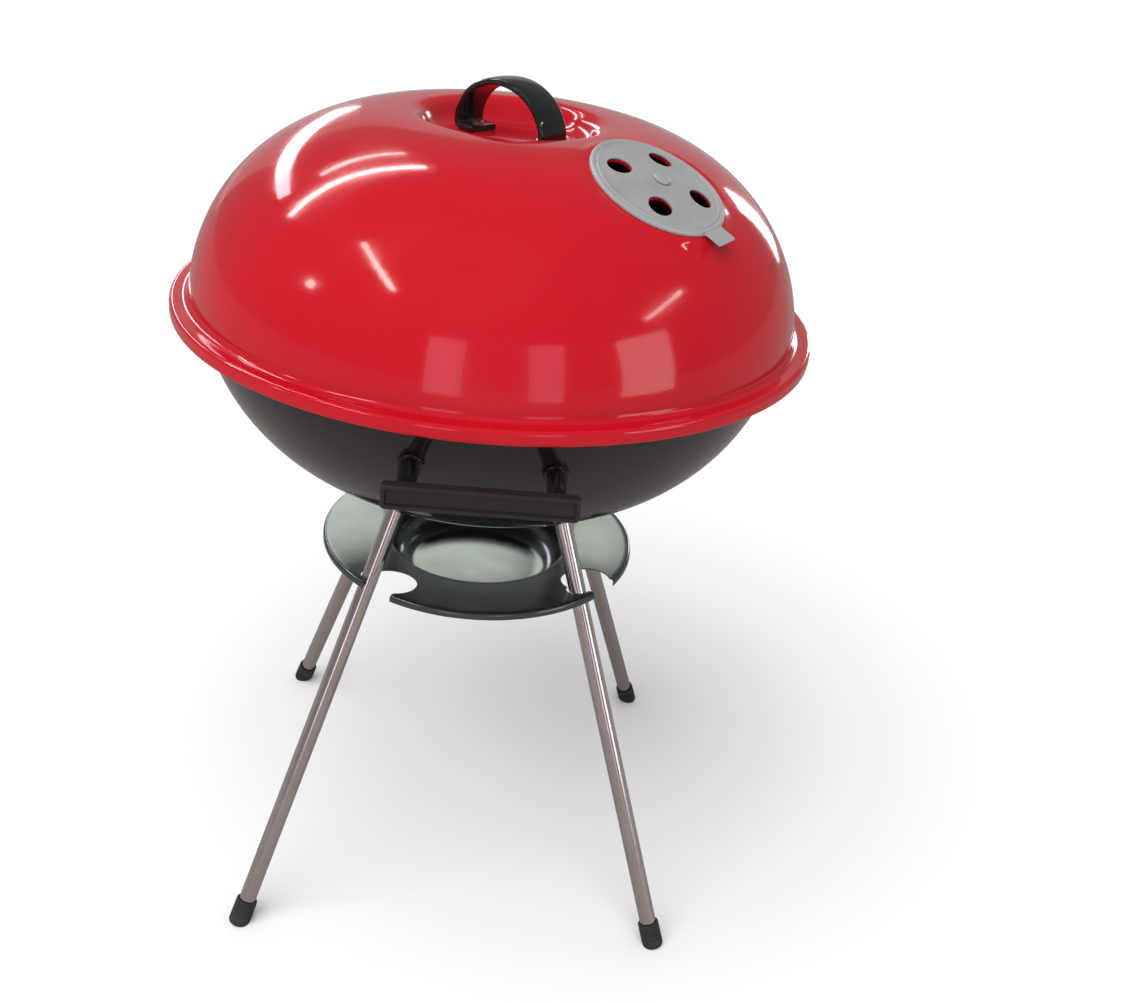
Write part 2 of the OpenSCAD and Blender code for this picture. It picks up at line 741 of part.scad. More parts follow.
// The way past a leg: the leg rests in an arc slot behind a hook, and a turn brings it to the open notch.
module notch() {
    slot_in = leg_r_at_brim - leg_half_at_brim - notch_clear;
    slot_out = leg_r_at_brim + leg_half_at_brim + notch_clear;
    height = 3 * ash_hem_h;
    translate([0, 0, ash_z - height / 2]) {
        rotate([0, 0, notch_turn]) translate([notch_centre_r, 0, 0]) {
            cylinder(h = height, r = notch_r);
            translate([0, -notch_mouth / 2, 0]) cube([far / 4, notch_mouth, height]);
        }
        rotate_extrude(angle = notch_turn, $fn = 96)
            translate([slot_in, 0]) square([slot_out - slot_in, height]);
        translate([leg_r_at_brim, 0, 0]) cylinder(h = height, r = leg_half_at_brim + notch_clear);
    }
}

module leg_socket_front_left() { leg_socket(front_left); }
module leg_socket_front_right() { leg_socket(front_right); }
module leg_socket_rear_left() { leg_socket(rear_left); }
module leg_socket_rear_right() { leg_socket(rear_right); }
module leg_front_left() { leg(front_left); }
module leg_front_right() { leg(front_right); }
module leg_rear_left() { leg(rear_left); }
module leg_rear_right() { leg(rear_right); }
module foot_cap_front_left() { foot_cap(front_left); }
module foot_cap_front_right() { foot_cap(front_right); }
module foot_cap_rear_left() { foot_cap(rear_left); }
module foot_cap_rear_right() { foot_cap(rear_right); }
module side_handle_front() { handle_bar(front); }
module side_handle_rear() { handle_bar(rear); }
module handle_spacers_front() { handle_spacers(front); }
module handle_spacers_rear() { handle_spacers(rear); }

bowl();
cooking_grate_tabs();
charcoal_grate_tabs();
bottom_vent_rivet();
bottom_damper();
leg_socket_front_left();
leg_socket_front_right();
leg_socket_rear_left();
leg_socket_rear_right();
leg_front_left();
leg_front_right();
leg_rear_left();
leg_rear_right();
leg_screws();
foot_cap_front_left();
foot_cap_front_right();
foot_cap_rear_left();
foot_cap_rear_right();
side_handle_front();
side_handle_rear();
handle_spacers_front();
handle_spacers_rear();
side_handle_bolts();
side_handle_washers();
charcoal_grate();
cooking_grate();
cooking_grate_lifts();
lid_shell();
lid_handle();
lid_handle_screws();
lid_handle_washers();
lid_handle_nuts();
lid_vent_rivet();
lid_damper();
ash_catcher();
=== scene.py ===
import json
import math

import bmesh
import bpy
from mathutils import Matrix, Vector


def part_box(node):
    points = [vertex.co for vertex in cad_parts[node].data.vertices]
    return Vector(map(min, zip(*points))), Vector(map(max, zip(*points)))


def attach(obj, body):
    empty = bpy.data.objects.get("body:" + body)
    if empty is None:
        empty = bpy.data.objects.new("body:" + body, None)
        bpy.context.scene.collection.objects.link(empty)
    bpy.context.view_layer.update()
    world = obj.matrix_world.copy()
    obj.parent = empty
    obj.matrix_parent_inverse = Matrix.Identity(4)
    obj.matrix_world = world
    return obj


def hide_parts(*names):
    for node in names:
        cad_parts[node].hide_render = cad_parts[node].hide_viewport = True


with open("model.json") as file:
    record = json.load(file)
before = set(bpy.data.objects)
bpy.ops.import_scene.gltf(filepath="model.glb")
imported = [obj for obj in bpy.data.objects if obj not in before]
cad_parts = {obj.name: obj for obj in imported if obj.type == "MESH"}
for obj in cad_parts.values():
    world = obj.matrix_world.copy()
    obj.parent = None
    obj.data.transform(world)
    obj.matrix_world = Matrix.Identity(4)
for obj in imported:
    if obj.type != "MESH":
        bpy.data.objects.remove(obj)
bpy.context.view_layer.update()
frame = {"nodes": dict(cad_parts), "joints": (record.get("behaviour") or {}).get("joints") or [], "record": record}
mm = 0.001
joints = {j["name"]: j for j in frame["joints"]}
mounts = {m["name"]: m for m in frame["record"]["mounts"]}
bpy.context.scene.view_settings.view_transform = "Standard"
print("frame loaded")


# outlines, in (radius, height) pairs


def arcPoints(centre, radius, start, end, count):
    turns = [math.radians(start + (end - start) * i / count) for i in range(count + 1)]
    return [(centre[0] + radius * math.cos(t), centre[1] + radius * math.sin(t)) for t in turns]


def linePoints(start, end, count):
    return [
        (start[0] + (end[0] - start[0]) * i / count, start[1] + (end[1] - start[1]) * i / count)
        for i in range(count + 1)
    ]


def joinPaths(*paths):
    # one path, without the points that repeat where two stretches meet
    joined = []
    for path in paths:
        for point in path:
            if not joined or math.dist(point, joined[-1]) > 1e-5:
                joined.append(point)
    return joined


def twoArcs(run, rise, lean, join):
    # radii of a wall arc and a crown arc that join smoothly and end level
    a = math.cos(math.radians(lean)) - math.cos(math.radians(join))
    b = math.cos(math.radians(join))
    c = math.sin(math.radians(join)) - math.sin(math.radians(lean))
    d = 1 - math.sin(math.radians(join))
    whole = a * d - c * b
    return (run * d - rise * b) / whole, (rise * a - run * c) / whole


def arcPair(startRadius, startHeight, run, rise, lean, join):
    # centres and radii of the wall arc and the crown arc
    wallArc, crownArc = twoArcs(run, rise, lean, join)
    leanTurn, joinTurn = math.radians(lean), math.radians(join)
    first = (startRadius - wallArc * math.cos(leanTurn), startHeight - wallArc * math.sin(leanTurn))
    second = (
        first[0] + (wallArc - crownArc) * math.cos(joinTurn),
        first[1] + (wallArc - crownArc) * math.sin(joinTurn),
    )
    return first, wallArc, second, crownArc


def neighbours(path, i):
    return path[max(i - 1, 0)], path[min(i + 1, len(path) - 1)]


def sheetOutline(path, wall, side):
    # a sheet of the given thickness laid along a path, closed with a round edge at the path's far end
    normals = []
    for i in range(len(path)):
        before, after = neighbours(path, i)
        dx, dy = after[0] - before[0], after[1] - before[1]
        length = math.hypot(dx, dy)
        normals.append((-dy / length * side, dx / length * side))
    normals[0] = (0.0, math.copysign(1.0, normals[0][1]))
    other = [(p[0] + n[0] * wall, p[1] + n[1] * wall) for p, n in zip(path, normals)]
    end, endNormal = path[-1], normals[-1]
    middle = (end[0] + endNormal[0] * wall / 2, end[1] + endNormal[1] * wall / 2)
    startTurn = math.degrees(math.atan2(-endNormal[1], -endNormal[0]))
    edge = arcPoints(middle, wall / 2, startTurn, startTurn + 180 * side, 6)[1:-1]
    return path + edge + other[::-1]


# meshes


def addObject(name, data):
    piece = bpy.data.objects.new(name, data)
    bpy.context.scene.collection.objects.link(piece)
    return piece


def meshObject(name, verts, faces, sharpAngle=40):
    mesh = bpy.data.meshes.new(name)
    mesh.from_pydata([tuple(v) for v in verts], [], faces)
    return tidyMesh(addObject(name, mesh), sharpAngle)


def tidyMesh(piece, sharpAngle):
    # merged, faced outwards and shaded smooth up to the given angle
    shape = bmesh.new()
    shape.from_mesh(piece.data)
    bmesh.ops.remove_doubles(shape, verts=shape.verts, dist=1e-6)
    bmesh.ops.recalc_face_normals(shape, faces=shape.faces)
    shape.to_mesh(piece.data)
    shape.free()
    piece.data.shade_smooth()
    piece.data.set_sharp_from_angle(angle=math.radians(sharpAngle))
    piece.data.update()
    return piece


def evenTurns(count):
    return [2 * math.pi * i / count for i in range(count)]


def latheMesh(outline, turns):
    # spins an outline round the Z axis; outline points on the axis become single points
    verts, rows, faces = [], [], []
    for radius, height in outline:
        if radius < 1e-7:
            rows.append([len(verts)])
            verts.append((0.0, 0.0, height))
        else:
            rows.append(list(range(len(verts), len(verts) + len(turns))))
            verts += [(radius * math.cos(t), radius * math.sin(t), height) for t in turns]
    for lower, upper in zip(rows, rows[1:]):
        for i in range(len(turns)):
            k = (i + 1) % len(turns)
            if len(lower) == 1 and len(upper) == 1:
                continue
            if len(lower) == 1:
                faces.append((lower[0], upper[k], upper[i]))
            elif len(upper) == 1:
                faces.append((lower[i], lower[k], upper[0]))
            else:
                faces.append((lower[i], lower[k], upper[k], upper[i]))
    return verts, faces


def loftMesh(loops):
    # joins loops of equal length, with a flat cap on each end
    count = len(loops[0])
    verts = [v for loop in loops for v in loop]
    faces = [tuple(range(count))[::-1], tuple(range(len(verts) - count, len(verts)))]
    for row in range(len(loops) - 1):
        for i in range(count):
            k = (i + 1) % count
            base = row * count
            faces.append((base + i, base + k, base + count + k, base + count + i))
    return verts, faces


def sheetPiece(name, path, wall, side, turnCount, sharpAngle):
    # a sheet laid along a path and spun round the Z axis
    return meshObject(name, *latheMesh(sheetOutline(path, wall, side), evenTurns(turnCount)), sharpAngle)


def turnedRod(frameMatrix, outline, count):
    # a solid of revolution about the frame's own Z axis, from (radius, height) pairs
    verts, faces = latheMesh(outline, evenTurns(count))
    return [frameMatrix @ Vector(v) for v in verts], faces


def joinParts(name, parts, sharpAngle=40):
    verts, faces = [], []
    for partVerts, partFaces in parts:
        start = len(verts)
        verts += [tuple(v) for v in partVerts]
        faces += [tuple(start + i for i in face) for face in partFaces]
    return meshObject(name, verts, faces, sharpAngle)


def applyModifiers(piece, sharpAngle):
    # bakes the modifiers into the mesh and takes them off
    graph = bpy.context.evaluated_depsgraph_get()
    mesh = bpy.data.meshes.new_from_object(piece.evaluated_get(graph))
    piece.modifiers.clear()
    piece.data = mesh
    return tidyMesh(piece, sharpAngle)


def combine(operation, piece, parts, sharpAngle):
    for part in parts:
        step = piece.modifiers.new("combine", "BOOLEAN")
        step.operation = operation
        step.solver = "MANIFOLD"
        step.object = part
    bpy.context.view_layer.update()
    applyModifiers(piece, sharpAngle)
    for part in parts:
        bpy.data.objects.remove(part)
    return piece


def cutWith(piece, cutters, sharpAngle):
    return combine("DIFFERENCE", piece, cutters, sharpAngle)


def joinWith(piece, part, sharpAngle):
    return combine("UNION", piece, [part], sharpAngle)


def finishPiece(piece, body, slot, material, *cadNodes):
    piece.data.materials.clear()
    piece.data.materials.append(material)
    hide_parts(*cadNodes)
    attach(piece, body)
    return piece


def smoothStep(low, high, value):
    t = min(max((value - low) / (high - low), 0.0), 1.0)
    return t * t * (3 - 2 * t)


def axisFrame(origin, zAxis, xHint):
    # a frame whose Z is zAxis and whose X leans towards xHint
    z = Vector(zAxis).normalized()
    x = (Vector(xHint) - z * Vector(xHint).dot(z)).normalized()
    y = z.cross(x)
    matrix = Matrix((x, y, z)).transposed().to_4x4()
    matrix.translation = Vector(origin)
    return matrix


# node trees


def wire(tree, source, target):
    # links a socket, sets a constant, or leaves the input as it is
    if isinstance(source, bpy.types.NodeSocket):
        tree.links.new(source, target)
    elif source is not None:
        target.default_value = source


def addNode(tree, kind, inputs=None, **settings):
    node = tree.nodes.new(kind)
    for key, value in settings.items():
        setattr(node, key, value)
    for key, source in (inputs or {}).items():
        wire(tree, source, node.inputs[key])
    return node


def newTree(name, kind, inputs, outputs):
    # a node tree with named sockets, and the sockets that it is given
    tree = bpy.data.node_groups.new(name, kind)
    for way, sockets in (("INPUT", inputs), ("OUTPUT", outputs)):
        for socketName, socketType, value in sockets:
            socket = tree.interface.new_socket(socketName, in_out=way, socket_type="NodeSocket" + socketType)
            if value is not None:
                socket.default_value = value
    return tree, tree.nodes.new("NodeGroupInput").outputs


def treeMath(tree, operation, first, second=None):
    return addNode(tree, "ShaderNodeMath", {0: first, 1: second}, operation=operation).outputs[0]


def treeVector(tree, x, y, z):
    return addNode(tree, "ShaderNodeCombineXYZ", {0: x, 1: y, 2: z}).outputs[0]


def mapRange(tree, source, fromLow, fromHigh, toLow, toHigh):
    inputs = {"Value": source, "From Min": fromLow, "From Max": fromHigh, "To Min": toLow, "To Max": toHigh}
    return addNode(tree, "ShaderNodeMapRange", inputs).outputs["Result"]


def mixColour(tree, factor, first, second):
    return addNode(tree, "ShaderNodeMix", {0: factor, 6: first, 7: second}, data_type="RGBA").outputs[2]


def noiseField(tree, place, scale, detail, roughness=0.5):
    inputs = {"Vector": place, "Scale": scale, "Detail": detail, "Roughness": roughness}
    return addNode(tree, "ShaderNodeTexNoise", inputs).outputs["Fac"]


# shader groups that several materials use


def newFinish(name, inputs):
    # a shader group with the three outputs that every material takes, and the place on the piece
    outputs = [("Colour", "Color", None), ("Roughness", "Float", None), ("Normal", "Vector", None)]
    group, given = newTree(name, "ShaderNodeTree", inputs, outputs)
    return group, given, addNode(group, "ShaderNodeTexCoord").outputs["Object"]


def closeFinish(group, colour, roughness, height, strength, distance):
    bump = addNode(group, "ShaderNodeBump", {"Height": height, "Strength": strength, "Distance": distance})
    ends = {"Colour": colour, "Roughness": roughness, "Normal": bump.outputs["Normal"]}
    addNode(group, "NodeGroupOutput", ends)
    return group


def buildEnamelGroup():
    # fired enamel: a faint orange peel, slow colour drift, wiped smudges and a little settled dust
    group, given, place = newFinish(
        "enamelFinish",
        [
            ("Colour", "Color", (0.5, 0.02, 0.03, 1)),
            ("Deep Colour", "Color", (0.3, 0.01, 0.02, 1)),
            ("Dust Colour", "Color", (0.4, 0.38, 0.36, 1)),
            ("Peel Scale", "Float", 320.0),
            ("Peel Depth", "Float", 0.05),
            ("Dust", "Float", 0.05),
        ],
    )
    drift = noiseField(group, place, 5.0, 2.0)
    peel = noiseField(group, place, given["Peel Scale"], 1.0)
    smudge = noiseField(group, place, 17.0, 6.0, 0.65)
    speck = noiseField(group, place, 900.0, 3.0, 0.7)
    deepShare = mapRange(group, drift, 0.35, 0.7, 0.0, 0.55)
    base = mixColour(group, deepShare, given["Colour"], given["Deep Colour"])
    facing = addNode(group, "ShaderNodeNewGeometry").outputs["Normal"]
    rise = addNode(group, "ShaderNodeSeparateXYZ", {0: facing}).outputs["Z"]
    upward = mapRange(group, rise, 0.3, 1.0, 0.0, 1.0)
    specks = mapRange(group, speck, 0.52, 0.75, 0.0, 1.0)
    dust = treeMath(group, "MULTIPLY", treeMath(group, "MULTIPLY", upward, specks), given["Dust"])
    colour = mixColour(group, dust, base, given["Dust Colour"])
    rough = treeMath(group, "ADD", mapRange(group, smudge, 0.35, 0.75, 0.06, 0.2), dust)
    return closeFinish(group, colour, rough, peel, given["Peel Depth"], 0.0006)


def buildMetalGroup():
    # drawn or rolled metal: streaks along one direction and cloudy tarnish
    group, given, place = newFinish(
        "metalFinish",
        [
            ("Colour", "Color", (0.7, 0.7, 0.7, 1)),
            ("Tarnish Colour", "Color", (0.35, 0.33, 0.3, 1)),
            ("Streak Stretch", "Vector", (1.0, 1.0, 1.0)),
            ("Streak Depth", "Float", 0.1),
            ("Tarnish", "Float", 0.3),
            ("Roughness Low", "Float", 0.1),
            ("Roughness High", "Float", 0.3),
        ],
    )
    stretch = {0: place, 1: given["Streak Stretch"]}
    stretched = addNode(group, "ShaderNodeVectorMath", stretch, operation="MULTIPLY").outputs["Vector"]
    streak = noiseField(group, stretched, 260.0, 5.0, 0.6)
    cloud = noiseField(group, place, 38.0, 5.0, 0.6)
    tarnish = treeMath(group, "MULTIPLY", mapRange(group, cloud, 0.42, 0.7, 0.0, 1.0), given["Tarnish"])
    colour = mixColour(group, tarnish, given["Colour"], given["Tarnish Colour"])
    rough = mapRange(group, streak, 0.3, 0.7, given["Roughness Low"], given["Roughness High"])
    return closeFinish(group, colour, rough, streak, given["Streak Depth"], 0.0003)


def buildGrainGroup():
    # moulded plastic, rubber and sprayed paint: a fine grain and faded patches
    group, given, place = newFinish(
        "grainFinish",
        [
            ("Colour", "Color", (0.02, 0.02, 0.02, 1)),
            ("Faded Colour", "Color", (0.06, 0.06, 0.06, 1)),
            ("Grain Scale", "Float", 900.0),
            ("Grain Depth", "Float", 0.2),
            ("Roughness Low", "Float", 0.3),
            ("Roughness High", "Float", 0.5),
        ],
    )
    grain = noiseField(group, place, given["Grain Scale"], 3.0, 0.6)
    patch = noiseField(group, place, 30.0, 6.0, 0.65)
    colour = mixColour(
        group, mapRange(group, patch, 0.45, 0.75, 0.0, 0.8), given["Colour"], given["Faded Colour"]
    )
    rough = mapRange(group, patch, 0.35, 0.7, given["Roughness Low"], given["Roughness High"])
    return closeFinish(group, colour, rough, grain, given["Grain Depth"], 0.0003)


enamelGroup = buildEnamelGroup()
metalGroup = buildMetalGroup()
grainGroup = buildGrainGroup()


def groupMaterial(name, group, values, shader):
    # one Principled shader fed by one shared group
    material = bpy.data.materials.new(name)
    material.use_nodes = True
    tree = material.node_tree
    finish = addNode(tree, "ShaderNodeGroup", values, node_tree=group).outputs
    fed = {"Base Color": finish["Colour"], "Roughness": finish["Roughness"], "Normal": finish["Normal"]}
    for key, source in (shader | fed).items():
        wire(tree, source, tree.nodes["Principled BSDF"].inputs[key])
    return material


def metal(name, colour, tarnishColour, tarnish, streakDepth, roughness, metallic, stretch=(1.0, 1.0, 1.0)):
    values = {
        "Colour": (*colour, 1),
        "Tarnish Colour": (*tarnishColour, 1),
        "Tarnish": tarnish,
        "Streak Stretch": stretch,
        "Streak Depth": streakDepth,
        "Roughness Low": roughness[0],
        "Roughness High": roughness[1],
    }
    return groupMaterial(name, metalGroup, values, {"Metallic": metallic})


def grained(name, colour, fadedColour, grainScale, grainDepth, roughness, coat=(0.0, 0.03), metallic=0.0):
    values = {
        "Colour": (*colour, 1),
        "Faded Colour": (*fadedColour, 1),
        "Grain Scale": grainScale,
        "Grain Depth": grainDepth,
        "Roughness Low": roughness[0],
        "Roughness High": roughness[1],
    }
    shader = {"Metallic": metallic, "Coat Weight": coat[0], "Coat Roughness": coat[1]}
    return groupMaterial(name, grainGroup, values, shader)


lidRed = groupMaterial(
    "lidRed",
    enamelGroup,
    {
        "Colour": (0.53, 0.003, 0.012, 1),
        "Deep Colour": (0.46, 0.002, 0.01, 1),
        "Peel Depth": 0.05,
        "Dust": 0.04,
    },
    {"Coat Weight": 0.4, "Coat Roughness": 0.03, "Specular IOR Level": 0.45},
)
bowlBlack = groupMaterial(
    "bowlBlack",
    enamelGroup,
    {
        "Colour": (0.012, 0.01, 0.01, 1),
        "Deep Colour": (0.02, 0.016, 0.015, 1),
        "Dust Colour": (0.2, 0.19, 0.18, 1),
        "Peel Depth": 0.06,
        "Dust": 0.06,
    },
    {"Coat Weight": 0.5, "Coat Roughness": 0.04},
)
legChrome = metal(
    "legChrome", (0.84, 0.78, 0.75), (0.62, 0.53, 0.48), 0.35, 0.08, (0.1, 0.22), 1.0,
    stretch=(1.0, 1.0, 0.04),
)
ventGrey = metal("ventGrey", (0.45, 0.455, 0.455), (0.36, 0.365, 0.37), 0.6, 0.12, (0.38, 0.55), 0.35)
platedWire = metal("platedWire", (0.7, 0.7, 0.7), (0.4, 0.33, 0.25), 0.5, 0.05, (0.12, 0.28), 1.0)
bareWire = metal("bareWire", (0.25, 0.24, 0.23), (0.08, 0.06, 0.05), 0.8, 0.2, (0.35, 0.6), 0.9)
zincPlate = metal("zincPlate", (0.6, 0.6, 0.58), (0.4, 0.38, 0.34), 0.5, 0.1, (0.25, 0.42), 1.0)
footRubber = grained("footRubber", (0.022, 0.022, 0.023), (0.05, 0.05, 0.05), 1200.0, 0.35, (0.42, 0.6))
barPlastic = grained("barPlastic", (0.022, 0.015, 0.016), (0.032, 0.024, 0.025), 1500.0, 0.12, (0.22, 0.36))
handleGloss = grained(
    "handleGloss", (0.009, 0.008, 0.008), (0.014, 0.012, 0.012), 600.0, 0.03, (0.07, 0.2), coat=(0.5, 0.05)
)
ashPaint = grained(
    "ashPaint", (0.12, 0.137, 0.142), (0.15, 0.165, 0.165), 700.0, 0.03, (0.17, 0.24),
    coat=(0.25, 0.15), metallic=0.85,
)
bracketBlack = grained("bracketBlack", (0.018, 0.017, 0.017), (0.04, 0.036, 0.034), 800.0, 0.2, (0.35, 0.5))
print("materials made")


# geometry node trees for what repeats

geometryPort = [("Geometry", "Geometry", None)]


def runTree(name, tree, values, points=None, sharpAngle=40):
    # runs a tree on a mesh of points and returns the plain mesh that it makes
    mesh = bpy.data.meshes.new(name)
    if points:
        mesh.from_pydata([tuple(p) for p, aim in points], [], [])
        aims = mesh.attributes.new("aim", "FLOAT_VECTOR", "POINT")
        for i, (p, aim) in enumerate(points):
            aims.data[i].vector = aim
    piece = addObject(name, mesh)
    step = piece.modifiers.new("make", "NODES")
    step.node_group = tree
    for item in tree.interface.items_tree:
        if item.in_out == "INPUT" and item.name in values:
            step[item.identifier] = values[item.name]
    bpy.context.view_layer.update()
    return applyModifiers(piece, sharpAngle)


def closeTree(tree, geometry, material):
    realized = addNode(tree, "GeometryNodeRealizeInstances", {"Geometry": geometry}).outputs["Geometry"]
    painted = addNode(tree, "GeometryNodeSetMaterial", {"Geometry": realized, "Material": material})
    addNode(tree, "NodeGroupOutput", {"Geometry": painted.outputs["Geometry"]})
    return tree


def lifted(tree, geometry, z, turn=0.0):
    inputs = {"Geometry": geometry, "Translation": treeVector(tree, 0.0, 0.0, z), "Rotation": (0, 0, turn)}
    return addNode(tree, "GeometryNodeTransform", inputs).outputs["Geometry"]


def tube(tree, curve, radius, sides):
    outline = addNode(tree, "GeometryNodeCurvePrimitiveCircle", {"Resolution": sides, "Radius": radius})
    inputs = {"Curve": curve, "Profile Curve": outline.outputs["Curve"], "Fill Caps": True}
    return addNode(tree, "GeometryNodeCurveToMesh", inputs).outputs["Mesh"]


def cylinder(tree, sides, radius, depth):
    inputs = {"Vertices": sides, "Radius": radius, "Depth": depth}
    return addNode(tree, "GeometryNodeMeshCylinder", inputs).outputs["Mesh"]


def solidMath(tree, operation, base, *others):
    # an exact boolean; a union takes no base
    node = addNode(tree, "GeometryNodeMeshBoolean", operation=operation, solver="EXACT")
    if operation == "DIFFERENCE":
        wire(tree, base, node.inputs["Mesh 1"])
    for other in others:
        wire(tree, other, node.inputs["Mesh 2"])
    return node.outputs["Mesh"]


def instances(tree, points, instance, **inputs):
    inputs = {"Points": points, "Instance": instance} | inputs
    return addNode(tree, "GeometryNodeInstanceOnPoints", inputs).outputs["Instances"]


def buildGrateTree():
    # a wire ring, rods across its top and two bars under the rods
    tree, given = newTree(
        "wireGrate",
        "GeometryNodeTree",
        geometryPort
        + [
            ("Ring Radius", "Float", 0.2),
            ("Ring Wire", "Float", 0.003),
            ("Rod Wire", "Float", 0.002),
            ("Rod Pitch", "Float", 0.013),
            ("Rod Count", "Int", 29),
            ("Bar Offset", "Float", 0.1),
            ("Height", "Float", 0.45),
            ("Material", "Material", None),
        ],
        geometryPort,
    )
    ringRadius, ringWire, rodWire, height = (
        given[key] for key in ("Ring Radius", "Ring Wire", "Rod Wire", "Height")
    )

    def rodsAcross(count, pitch, turn, z):
        # rods of the ring's own chord length, side by side
        half = treeMath(tree, "MULTIPLY", treeMath(tree, "SUBTRACT", count, 1.0), 0.5)
        start = treeMath(tree, "MULTIPLY", treeMath(tree, "MULTIPLY", half, pitch), -1.0)
        spread = {
            "Count": count,
            "Start Location": treeVector(tree, start, 0.0, 0.0),
            "Offset": treeVector(tree, pitch, 0.0, 0.0),
        }
        row = addNode(tree, "GeometryNodeMeshLine", spread).outputs["Mesh"]
        where = addNode(tree, "GeometryNodeInputPosition").outputs["Position"]
        x = addNode(tree, "ShaderNodeSeparateXYZ", {0: where}).outputs["X"]
        across = treeMath(tree, "MULTIPLY", x, x)
        ringSquare = treeMath(tree, "MULTIPLY", ringRadius, ringRadius)
        chord = treeMath(tree, "SQRT", treeMath(tree, "SUBTRACT", ringSquare, across))
        line = addNode(tree, "GeometryNodeCurvePrimitiveLine", {"Start": (0, -1, 0), "End": (0, 1, 0)})
        rod = tube(tree, line.outputs["Curve"], rodWire, 12)
        return lifted(tree, instances(tree, row, rod, Scale=treeVector(tree, 1.0, chord, 1.0)), z, turn)

    weld = 0.0004
    ring = addNode(tree, "GeometryNodeCurvePrimitiveCircle", {"Resolution": 180, "Radius": ringRadius})
    rodTop = treeMath(tree, "ADD", height, treeMath(tree, "ADD", ringWire, rodWire))
    barPitch = treeMath(tree, "MULTIPLY", given["Bar Offset"], 2.0)
    barZ = treeMath(tree, "ADD", height, treeMath(tree, "SUBTRACT", ringWire, rodWire))
    whole = tree.nodes.new("GeometryNodeJoinGeometry")
    for part in (
        lifted(tree, tube(tree, ring.outputs["Curve"], ringWire, 14), height),
        rodsAcross(given["Rod Count"], given["Rod Pitch"], 0.0, treeMath(tree, "SUBTRACT", rodTop, weld)),
        rodsAcross(2, barPitch, math.pi / 2, barZ),
    ):
        wire(tree, part, whole.inputs["Geometry"])
    return closeTree(tree, whole.outputs["Geometry"], given["Material"])


def buildFastenerTree():
    # a cross-recessed head and a shank on every point, along the point's aim
    tree, given = newTree(
        "fastenerRow",
        "GeometryNodeTree",
        geometryPort
        + [
            ("Head Radius", "Float", 0.005),
            ("Head Top Radius", "Float", 0.0035),
            ("Head Height", "Float", 0.0024),
            ("Head Sides", "Int", 32),
            ("Recess Width", "Float", 0.0012),
            ("Recess Reach", "Float", 0.0026),
            ("Shank Radius", "Float", 0.0025),
            ("Shank Length", "Float", 0.02),
            ("Material", "Material", None),
        ],
        geometryPort,
    )
    sides, radius, headHeight = given["Head Sides"], given["Head Radius"], given["Head Height"]
    shoulderShare = 0.45
    shoulderHeight = treeMath(tree, "MULTIPLY", headHeight, shoulderShare)
    cone = {
        "Vertices": sides,
        "Radius Top": given["Head Top Radius"],
        "Radius Bottom": radius,
        "Depth": treeMath(tree, "MULTIPLY", headHeight, 1 - shoulderShare),
    }
    shoulder = lifted(
        tree, cylinder(tree, sides, radius, shoulderHeight), treeMath(tree, "MULTIPLY", shoulderHeight, 0.5)
    )
    crown = lifted(tree, addNode(tree, "GeometryNodeMeshCone", cone).outputs["Mesh"], shoulderHeight)
    head = solidMath(tree, "UNION", None, shoulder, crown)
    width, reach = given["Recess Width"], treeMath(tree, "MULTIPLY", given["Recess Reach"], 2.0)
    slots = []
    for x, y in ((reach, width), (width, reach)):
        slot = addNode(tree, "GeometryNodeMeshCube", {"Size": treeVector(tree, x, y, headHeight)})
        slots.append(lifted(tree, slot.outputs["Mesh"], headHeight))
    shankLength = given["Shank Length"]
    shankMiddle = treeMath(tree, "MULTIPLY", shankLength, -0.5)
    shank = lifted(tree, cylinder(tree, 24, given["Shank Radius"], shankLength), shankMiddle)
    whole = solidMath(tree, "UNION", None, solidMath(tree, "DIFFERENCE", head, *slots), shank)
    named = addNode(tree, "GeometryNodeInputNamedAttribute", {"Name": "aim"}, data_type="FLOAT_VECTOR")
    aligned = {"Vector": named.outputs["Attribute"]}
    align = addNode(tree, "FunctionNodeAlignRotationToVector", aligned, axis="Z").outputs["Rotation"]
    return closeTree(tree, instances(tree, given["Geometry"], whole, Rotation=align), given["Material"])


def buildHoleTree():
    # cutters for a round of holes about the Z axis
    tree, given = newTree(
        "holeRound",
        "GeometryNodeTree",
        geometryPort
        + [
            ("Hole Radius", "Float", 0.0085),
            ("Round Radius", "Float", 0.029),
            ("Depth", "Float", 0.02),
            ("Count", "Int", 4),
            ("Material", "Material", None),
        ],
        geometryPort,
    )
    around = {"Vertices": given["Count"], "Radius": given["Round Radius"]}
    ring = addNode(tree, "GeometryNodeMeshCircle", around).outputs["Mesh"]
    hole = cylinder(tree, 56, given["Hole Radius"], given["Depth"])
    return closeTree(tree, instances(tree, ring, hole), given["Material"])


grateTree = buildGrateTree()
fastenerTree = buildFastenerTree()
holeTree = buildHoleTree()
print("geometry node trees made")


def holeCutter(name, place, holeRadius, roundRadius, depth):
    # a round of four cutters in the given frame, midway between its axes
    values = {"Hole Radius": holeRadius, "Round Radius": roundRadius, "Depth": depth, "Count": 4}
    cutter = runTree(name, holeTree, values)
    cutter.data.transform(place @ Matrix.Rotation(math.pi / 4, 4, "Z"))
    return cutter


def boreCutter(name, place, radius, depth):
    outline = [(0, -depth / 2), (radius, -depth / 2), (radius, depth / 2), (0, depth / 2)]
    return meshObject(name, *turnedRod(place, outline, 40))


def addFasteners(name, node, body, points, sizes):
    piece = runTree(name, fastenerTree, sizes | {"Material": zincPlate}, points, 30)
    return finishPiece(piece, body, "zinc_steel", zincPlate, node)


# lid

